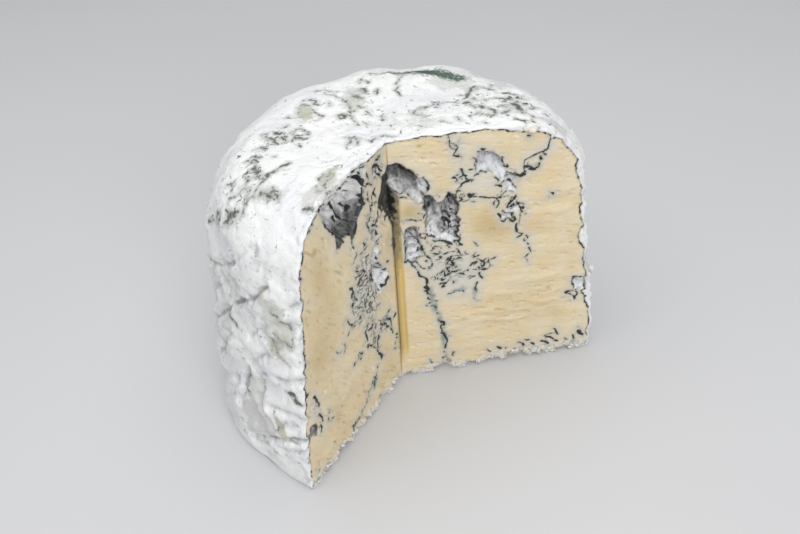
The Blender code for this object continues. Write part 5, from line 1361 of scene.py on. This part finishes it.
def add_scrap(shape, centre, size, draw):
    """One small uneven scrap, its lowest point kept above the floor."""
    made = bmesh.ops.create_icosphere(shape, subdivisions=2, radius=1.0)["verts"]
    stretch = Vector((draw.uniform(0.6, 1.7), draw.uniform(0.6, 1.1), draw.uniform(0.4, 0.9)))
    shift = Vector((draw.uniform(0, 99), draw.uniform(0, 99), draw.uniform(0, 99)))
    turn = Matrix.Rotation(draw.uniform(0, math.tau), 3, "Z")
    turn = turn @ Matrix.Rotation(draw.uniform(-0.7, 0.7), 3, "X")
    for vertex in made:
        swell = 1 + 0.75 * noise.noise(vertex.co * 1.1 + shift) + 0.35 * noise.noise(vertex.co * 2.7 + shift)
        vertex.co = turn @ Vector(a * b for a, b in zip(vertex.co * swell * size, stretch))
    lowest = min(vertex.co.z for vertex in made)
    lift = max(centre[2], CRUMB_LIFT - lowest)
    for vertex in made:
        vertex.co = (vertex.co + Vector((centre[0], centre[1], lift))) * MM


def make_crumbs(name, crumbs, scraps):
    """Crumbs that cling along the foot of both cuts, and a few larger scraps at their own places."""
    count, smallest, largest, seed = crumbs
    draw = random.Random(seed)
    shape = bmesh.new()
    for _ in range(count):
        cut = RIGHT_CUT if draw.random() < CRUMBS_ON_RIGHT else LEFT_CUT
        along = cut.crumb_length * draw.random()
        size = smallest + (largest - smallest) * draw.random() ** 3
        height = size + CRUMB_BAND * draw.random() ** 2
        spot = (np.array([along]), np.array([height]), np.array([cut.side]))
        depth = face_depth(*spot)[0]
        centre = pushed(*spot, depth - size * draw.uniform(-0.35, 0.3))[0]
        add_scrap(shape, centre, size, draw)
    for along, height, size, out in scraps:
        spot = (np.array([along]), np.array([height]), np.array([RIGHT_CUT.side]))
        add_scrap(shape, pushed(*spot, np.array([-out]))[0], size, draw)
    return smooth_object(shape, bpy.data.meshes.new(name))


# ---------------------------------------------------------------- finishes

class Finish:
    """Short hand for building one material's nodes."""

    def __init__(self, name):
        self.material = bpy.data.materials.new(name)
        self.material.use_nodes = True
        self.tree = self.material.node_tree
        self.shader = self.tree.nodes["Principled BSDF"]
        self.place = self.node("ShaderNodeTexCoord").outputs["Object"]

    def node(self, kind, **settings):
        made = self.tree.nodes.new(kind)
        for key, value in settings.items():
            setattr(made, key, value)
        return made

    def feed(self, socket, value):
        """Links a socket to another one, or sets it to a number or a colour."""
        if isinstance(value, bpy.types.NodeSocket):
            self.tree.links.new(value, socket)
        elif isinstance(value, tuple) and len(value) == 3:
            socket.default_value = (*value, 1.0)
        else:
            socket.default_value = value

    def attribute(self, name):
        return self.node("ShaderNodeAttribute", attribute_name=name).outputs["Fac"]

    def maths(self, operation, a, b=0.0, c=0.0):
        made = self.node("ShaderNodeMath", operation=operation)
        for socket, value in zip(made.inputs, (a, b, c)):
            self.feed(socket, value)
        return made.outputs["Value"]

    def scaled(self, value, by):
        return self.maths("MULTIPLY", value, by)

    def centred(self, value, by):
        """A noise moved from about 0.5 to about 0, and scaled."""
        return self.maths("MULTIPLY_ADD", value, by, -by / 2)

    def total(self, first, *others):
        return self.maths("ADD", first, self.total(*others)) if others else first

    def step(self, value, low, high):
        """0 below low and 1 above high, smooth between; low may be the larger one."""
        made = self.node("ShaderNodeMapRange", interpolation_type="SMOOTHSTEP")
        self.feed(made.inputs["Value"], value)
        turned = low > high
        self.feed(made.inputs["From Min"], min(low, high))
        self.feed(made.inputs["From Max"], max(low, high))
        self.feed(made.inputs["To Min"], 1.0 if turned else 0.0)
        self.feed(made.inputs["To Max"], 0.0 if turned else 1.0)
        return made.outputs["Result"]

    def mix(self, share, a, b, strength=None):
        """Colour a turned into b by the share, times the strength if one is given."""
        made = self.node("ShaderNodeMix", data_type="RGBA")
        self.feed(made.inputs[0], share if strength is None else self.scaled(share, strength))
        self.feed(made.inputs[6], a)
        self.feed(made.inputs[7], b)
        return made.outputs[2]

    def stretched(self, place, stretch):
        mapping = self.node("ShaderNodeMapping")
        mapping.inputs["Scale"].default_value = stretch
        self.feed(mapping.inputs["Vector"], place)
        return mapping.outputs["Vector"]

    def noise(self, size, detail, rough=0.5, stretch=None, twist=0.0):
        """Noise of the given size in millimetres, about 0.5 in the middle."""
        made = self.node("ShaderNodeTexNoise")
        made.inputs["Scale"].default_value = 1 / (size * MM)
        made.inputs["Detail"].default_value = detail
        made.inputs["Roughness"].default_value = rough
        made.inputs["Distortion"].default_value = twist
        self.feed(made.inputs["Vector"], self.stretched(self.place, stretch) if stretch else self.place)
        return made.outputs["Fac"]

    def cells(self, size, wander, stretch=(1.0, 1.0, 1.0)):
        """Distance from the nearest border of cells of the given size, the borders bent by a noise."""
        made = self.node("ShaderNodeTexVoronoi", feature="DISTANCE_TO_EDGE")
        made.inputs["Scale"].default_value = 1 / (size * MM)
        shift = self.node("ShaderNodeVectorMath", operation="SCALE")
        self.feed(shift.inputs[0], self.place)
        self.feed(shift.inputs["Scale"], self.maths("MULTIPLY_ADD", wander, 0.08, 0.96))
        self.feed(made.inputs["Vector"], self.stretched(shift.outputs[0], stretch))
        return made.outputs["Distance"]

    def bump(self, height, distance, strength=1.0, below=None):
        made = self.node("ShaderNodeBump")
        made.inputs["Strength"].default_value = strength
        made.inputs["Distance"].default_value = distance * MM
        self.feed(made.inputs["Height"], height)
        if below is not None:
            self.feed(made.inputs["Normal"], below)
        return made.outputs["Normal"]

    def surface(self, colour, rough, normal, weight, depth, radius=None):
        """Ends the material. Light goes in as far as the depth in millimetres, by weight and radius."""
        self.feed(self.shader.inputs["Base Color"], colour)
        self.feed(self.shader.inputs["Roughness"], rough)
        self.feed(self.shader.inputs["Normal"], normal)
        self.shader.inputs["Subsurface Weight"].default_value = weight
        self.shader.inputs["Subsurface Scale"].default_value = depth * MM
        if radius:
            self.shader.inputs["Subsurface Radius"].default_value = radius
        return self.material


CREAM = (0.800, 0.690, 0.485)
BUTTER = (0.790, 0.645, 0.405)
OCHRE = (0.560, 0.410, 0.170)
PALE_PASTE = (0.720, 0.680, 0.590)
# Corner strip: partly the strip's own golden colour, partly painted shade and bounced light of the concave
# corner; darker towards the fold as painted shade, with a painted shade line in the crease itself
STRIP = (0.740, 0.530, 0.165)
STRIP_SHADE = (0.420, 0.290, 0.080)
CREASE_SHADE_BROWN = (0.070, 0.045, 0.015)
TORN = (0.720, 0.710, 0.670)
TORN_GREY = (0.330, 0.345, 0.320)
RIND_WHITE = (0.885, 0.885, 0.872)
RIND_COOL = (0.795, 0.800, 0.816)
RIND_SHADE = (0.560, 0.580, 0.600)
FOLD_SHADE_GREY = (0.290, 0.285, 0.255)
MOULD_WHITE = (0.870, 0.866, 0.855)
LAVENDER = (0.800, 0.800, 0.840)
HOLLOW_SHADE_GREY = (0.050, 0.052, 0.048)
INK = (0.010, 0.012, 0.013)
INK_GREY = (0.060, 0.066, 0.064)
INK_TEAL = (0.012, 0.050, 0.056)
FRINGE = (0.200, 0.220, 0.200)
TEAL = (0.130, 0.230, 0.240)
HALO = (0.600, 0.600, 0.560)
SOOT = (0.010, 0.010, 0.008)
SOOT_GREY = (0.100, 0.100, 0.090)
SOOT_SHADE = (0.150, 0.135, 0.080)
WASH = (0.580, 0.600, 0.560)
BEIGE_GREY = (0.560, 0.555, 0.530)
OLIVE = (0.470, 0.460, 0.330)
MOSS = (0.250, 0.310, 0.260)
MOSS_DARK = (0.045, 0.088, 0.066)
FLECK = (0.330, 0.350, 0.310)
FLECK_DARK = (0.060, 0.068, 0.058)
CRUMB_CREAM = (0.780, 0.730, 0.620)
CRUMB_TAN = (0.600, 0.570, 0.500)
CRUMB_WHITE = (0.740, 0.730, 0.700)
CRUMB_GREY = (0.400, 0.410, 0.380)


def paste_finish():
    """Cream paste with blue-black veins, grey hollows with painted shade, a white rim and a torn, mouldy
    lower edge.
    """
    f = Finish("blue_cheese_paste")
    ink, haze, warm, stain, near = (f.attribute(name) for name in ("ink", "haze", "warm", "stain", "near"))
    broad = f.noise(9, 3.0)
    mottle = f.noise(2.6, 3.0, 0.6)
    fine = f.noise(1.1, 3.0, 0.6)
    speck = f.noise(0.55, 2.0, 0.6)
    colour = f.mix(f.step(broad, 0.36, 0.66), CREAM, BUTTER)
    colour = f.mix(f.step(warm, 0.0, 1.2), colour, OCHRE, 0.85)
    colour = f.mix(f.step(warm, -0.05, -0.8), colour, PALE_PASTE)
    cloud = f.total(haze, f.centred(mottle, 0.9))
    colour = f.mix(f.step(cloud, 0.15, 1.15), colour, HALO, 0.6)
    colour = f.mix(f.step(speck, 0.60, 0.74), colour, PALE_PASTE, 0.2)
    strip = f.attribute("strip")
    # corner strip: golden, with painted shade growing darker towards the fold, and a thin painted shade line
    # in the crease
    colour = f.mix(strip, colour, f.mix(f.step(near, 0.2, 2.2), STRIP_SHADE, STRIP), 0.85)
    colour = f.mix(f.scaled(strip, f.step(near, 0.42, 0.02)), colour, CREASE_SHADE_BROWN, 0.85)

    torn = f.scaled(f.attribute("torn"), f.step(fine, 0.28, 0.50))
    colour = f.mix(torn, colour, TORN, 0.8)
    far = f.scaled(torn, f.step(near, 26, 46))
    colour = f.mix(f.scaled(far, f.step(mottle, 0.42, 0.62)), colour, TORN_GREY, 0.7)
    colour = f.mix(f.step(f.attribute("rim"), 0.0, 0.35), colour, RIND_WHITE)

    streaks = f.noise(1.7, 3.0, 0.6, (1.0, 1.0, 0.4))
    # hollow linings: their own white, lavender and grey mould, with painted shade darkening the deep end
    tone = f.total(f.attribute("tone"), f.centred(streaks, 0.8), f.centred(mottle, 0.8))
    light = f.mix(f.attribute("bluish"), MOULD_WHITE, LAVENDER)
    lined = f.attribute("lining")
    colour = f.mix(lined, colour, f.mix(f.step(tone, -0.05, 0.95), HOLLOW_SHADE_GREY, light))
    mouldy = f.scaled(f.attribute("net"), f.step(haze, 0.2, 0.7))
    mouldy = f.maths("MAXIMUM", mouldy, f.scaled(lined, 0.3))
    net = f.total(f.cells(3.2, mottle, (1.0, 1.0, 1.7)), f.centred(mottle, 0.30))
    colour = f.mix(f.scaled(mouldy, f.scaled(f.step(net, 0.085, 0.02), 0.85)), colour, INK_GREY)

    edge = f.total(ink, f.centred(fine, 0.75))
    blotch = f.total(stain, f.centred(mottle, 0.8))
    colour = f.mix(f.step(blotch, 0.10, 1.0), colour, TEAL, 0.75)
    colour = f.mix(f.step(edge, 0.75, 0.05), colour, FRINGE, 0.32)
    dark = f.mix(f.step(speck, 0.45, 0.75), INK, INK_GREY)
    dark = f.mix(f.step(stain, 0.25, 1.0), dark, INK_TEAL)
    colour = f.mix(f.step(edge, 0.12, -0.10), colour, dark)
    # olive-brown: partly the dark edge of the black mould, partly painted shade down the corner strip; then
    # the black mould itself
    soot_and_shade = f.attribute("soot_and_shade")
    colour = f.mix(f.step(f.total(soot_and_shade, f.centred(mottle, 0.3)), 0.02, 0.34), colour, SOOT_SHADE, 0.82)
    soot_and_shade = f.total(soot_and_shade, f.centred(fine, 0.9))
    colour = f.mix(f.step(soot_and_shade, 0.28, 0.62), colour, f.mix(f.step(speck, 0.45, 0.8), SOOT, SOOT_GREY))

    grain = f.total(f.noise(1.8, 3.0, 0.55, (1.0, 1.0, 2.2)), f.scaled(speck, 0.3))
    rough = f.maths("MULTIPLY_ADD", fine, 0.25, 0.32)
    return f.surface(colour, rough, f.bump(grain, 0.35, 0.8), 0.12, 1.6, (1.0, 0.62, 0.30))


def rind_finish():
    """White mould, chalky on the side and crinkled on top, with grey-green flecks, patches, strokes, and
    painted shade in its hollows and folds.
    """
    f = Finish("blue_cheese_rind")
    flecks, moss, olive, grey = (f.attribute(name) for name in ("flecks", "moss", "olive", "grey"))
    broad = f.noise(14, 3.0)
    patch = f.noise(4.6, 4.0, 0.6)
    blot = f.noise(2.6, 4.0, 0.62, twist=0.8)
    fine = f.noise(1.2, 3.0, 0.6)
    speck = f.noise(0.7, 2.0, 0.5)
    colour = f.mix(f.step(broad, 0.38, 0.68), RIND_WHITE, RIND_COOL)
    # painted shade: the rind turns grey where its relief sinks in
    colour = f.mix(f.step(f.attribute("relief"), -0.2, -1.6), colour, RIND_SHADE, 0.6)
    # painted shade in the folds, deeper folds darker
    pressed = f.total(f.attribute("fold"), f.centred(patch, 2.0))
    colour = f.mix(f.step(pressed, 0.55, 1.35), colour, FOLD_SHADE_GREY, 0.6)
    wash = f.total(grey, f.centred(patch, 1.6), f.centred(fine, 0.6))
    colour = f.mix(f.step(wash, 0.30, 0.62), colour, f.mix(f.step(broad, 0.4, 0.6), WASH, BEIGE_GREY), 0.62)
    tinge = f.total(olive, f.centred(patch, 1.0), f.centred(fine, 0.5))
    colour = f.mix(f.step(tinge, 0.25, 0.95), colour, OLIVE, 0.8)

    green = f.total(moss, f.centred(blot, 1.9), f.centred(fine, 1.5))
    colour = f.mix(f.step(green, 0.20, 0.70), colour, MOSS, 0.85)
    colour = f.mix(f.step(green, 0.62, 1.0), colour, MOSS_DARK, 0.9)

    web = f.total(f.scaled(flecks, 0.055), f.centred(blot, 0.20), -0.035)
    net = f.step(f.maths("SUBTRACT", f.cells(4.2, patch), web), 0.05, 0.0)
    colour = f.mix(net, colour, FLECK, 0.45)
    dots = f.total(f.scaled(flecks, 0.10), blot, f.centred(fine, 0.18))
    colour = f.mix(f.step(dots, 0.585, 0.67), colour, FLECK, 0.55)
    colour = f.mix(f.step(dots, 0.645, 0.70), colour, FLECK_DARK, 0.88)

    edge = f.total(f.attribute("stroke"), f.centred(fine, 2.2), f.centred(blot, 2.0))
    colour = f.mix(f.step(edge, 1.6, 0.1), colour, FLECK, 0.45)
    colour = f.mix(f.step(edge, 0.25, -0.45), colour, FLECK_DARK, 0.86)
    grain = f.total(fine, f.scaled(speck, 0.45))
    normal = f.bump(grain, 0.4, 0.6, f.bump(patch, 0.9, 0.5))
    return f.surface(colour, f.maths("MULTIPLY_ADD", fine, 0.2, 0.66), normal, 0.08, 1.0, (0.8, 0.75, 0.7))


def crumb_finish(name, colour, dark):
    f = Finish(name)
    fine = f.noise(0.9, 3.0, 0.6)
    return f.surface(f.mix(f.step(fine, 0.56, 0.72), colour, dark), 0.62, f.bump(fine, 0.3, 0.8), 0.1, 1.0)


# ---------------------------------------------------------------- floor, light, camera

def make_stage():
    mesh = bpy.data.meshes.new("floor")
    half = FLOOR_HALF
    corners = [(-half, -half, 0), (half, -half, 0), (half, half, 0), (-half, half, 0)]
    mesh.from_pydata(corners, [], [(0, 1, 2, 3)])
    floor = linked("floor", mesh)
    floor.location.z = -FLOOR_GAP
    pale = bpy.data.materials.new("pale_floor")
    pale.use_nodes = True
    shader = pale.node_tree.nodes["Principled BSDF"]
    shader.inputs["Base Color"].default_value = FLOOR_COLOUR
    shader.inputs["Roughness"].default_value = FLOOR_ROUGH
    mesh.materials.append(pale)


def add_light(name, place, size, power):
    """A soft round lamp, aimed at the middle of the cheese."""
    data = bpy.data.lights.new(name, "AREA")
    data.shape = "DISK"
    data.size = size
    data.energy = power
    lamp = linked(name, data)
    lamp.location = place
    lamp.rotation_euler = (Vector(LIGHT_AIM) - Vector(place)).to_track_quat("-Z", "Y").to_euler()


def make_light():
    world = bpy.data.worlds.new("studio")
    world.use_nodes = True
    background = world.node_tree.nodes["Background"]
    background.inputs["Color"].default_value = SKY_COLOUR
    background.inputs["Strength"].default_value = SKY_STRENGTH
    scene = bpy.context.scene
    scene.world = world
    for light in LIGHTS:
        add_light(*light)
    scene.view_settings.view_transform = "Standard"
    scene.view_settings.look = "None"


def make_camera():
    """Stands where the photograph was taken from; the corner's edge gives its distance and its place."""
    flat = math.cos(CAMERA_RISE)
    back = Vector((math.sin(CAMERA_SIDE) * flat, -math.cos(CAMERA_SIDE) * flat, math.sin(CAMERA_RISE)))
    level = Vector((math.cos(CAMERA_SIDE), math.sin(CAMERA_SIDE), 0))
    up = back.cross(level)
    right = math.cos(CAMERA_ROLL) * level + math.sin(CAMERA_ROLL) * up
    top = -math.sin(CAMERA_ROLL) * level + math.cos(CAMERA_ROLL) * up
    per_pixel = CAMERA_DISTANCE / LENS_PIXELS
    place = Vector((CORNER[0], CORNER[1], HEIGHT / 2)) + back * CAMERA_DISTANCE
    place = place - right * ((AIM_PIXEL[0] - IMAGE_WIDTH / 2) * per_pixel)
    place = (place + top * ((AIM_PIXEL[1] - IMAGE_HEIGHT / 2) * per_pixel)) * MM
    camera = linked("camera", bpy.data.cameras.new("camera"))
    camera.data.sensor_fit = "HORIZONTAL"
    camera.data.sensor_width = SENSOR
    camera.data.lens = LENS_PIXELS * SENSOR / IMAGE_WIDTH
    camera.data.clip_start = NEAREST_SEEN
    columns = (right, top, back, place)
    camera.matrix_world = Matrix([[column[row] for column in columns] for row in range(3)] + [[0, 0, 0, 1]])
    bpy.context.scene.camera = camera


def main():
    rind, outlines = make_rind()
    pieces = (
        (rind, rind_finish(), "rind"),
        (make_paste(outlines), paste_finish(), "paste"),
        (make_crumbs("paste_crumbs", PASTE_CRUMBS, PASTE_SCRAPS),
         crumb_finish("crumb_paste", CRUMB_CREAM, CRUMB_TAN), "paste"),
        (make_crumbs("rind_crumbs", RIND_CRUMBS, RIND_SCRAPS),
         crumb_finish("crumb_rind", CRUMB_WHITE, CRUMB_GREY), "rind"),
    )
    for piece, finish, slot in pieces:
        piece.data.materials.append(finish)
        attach(piece, "root")
        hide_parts("cheese")
    make_stage()
    make_light()
    make_camera()


main()
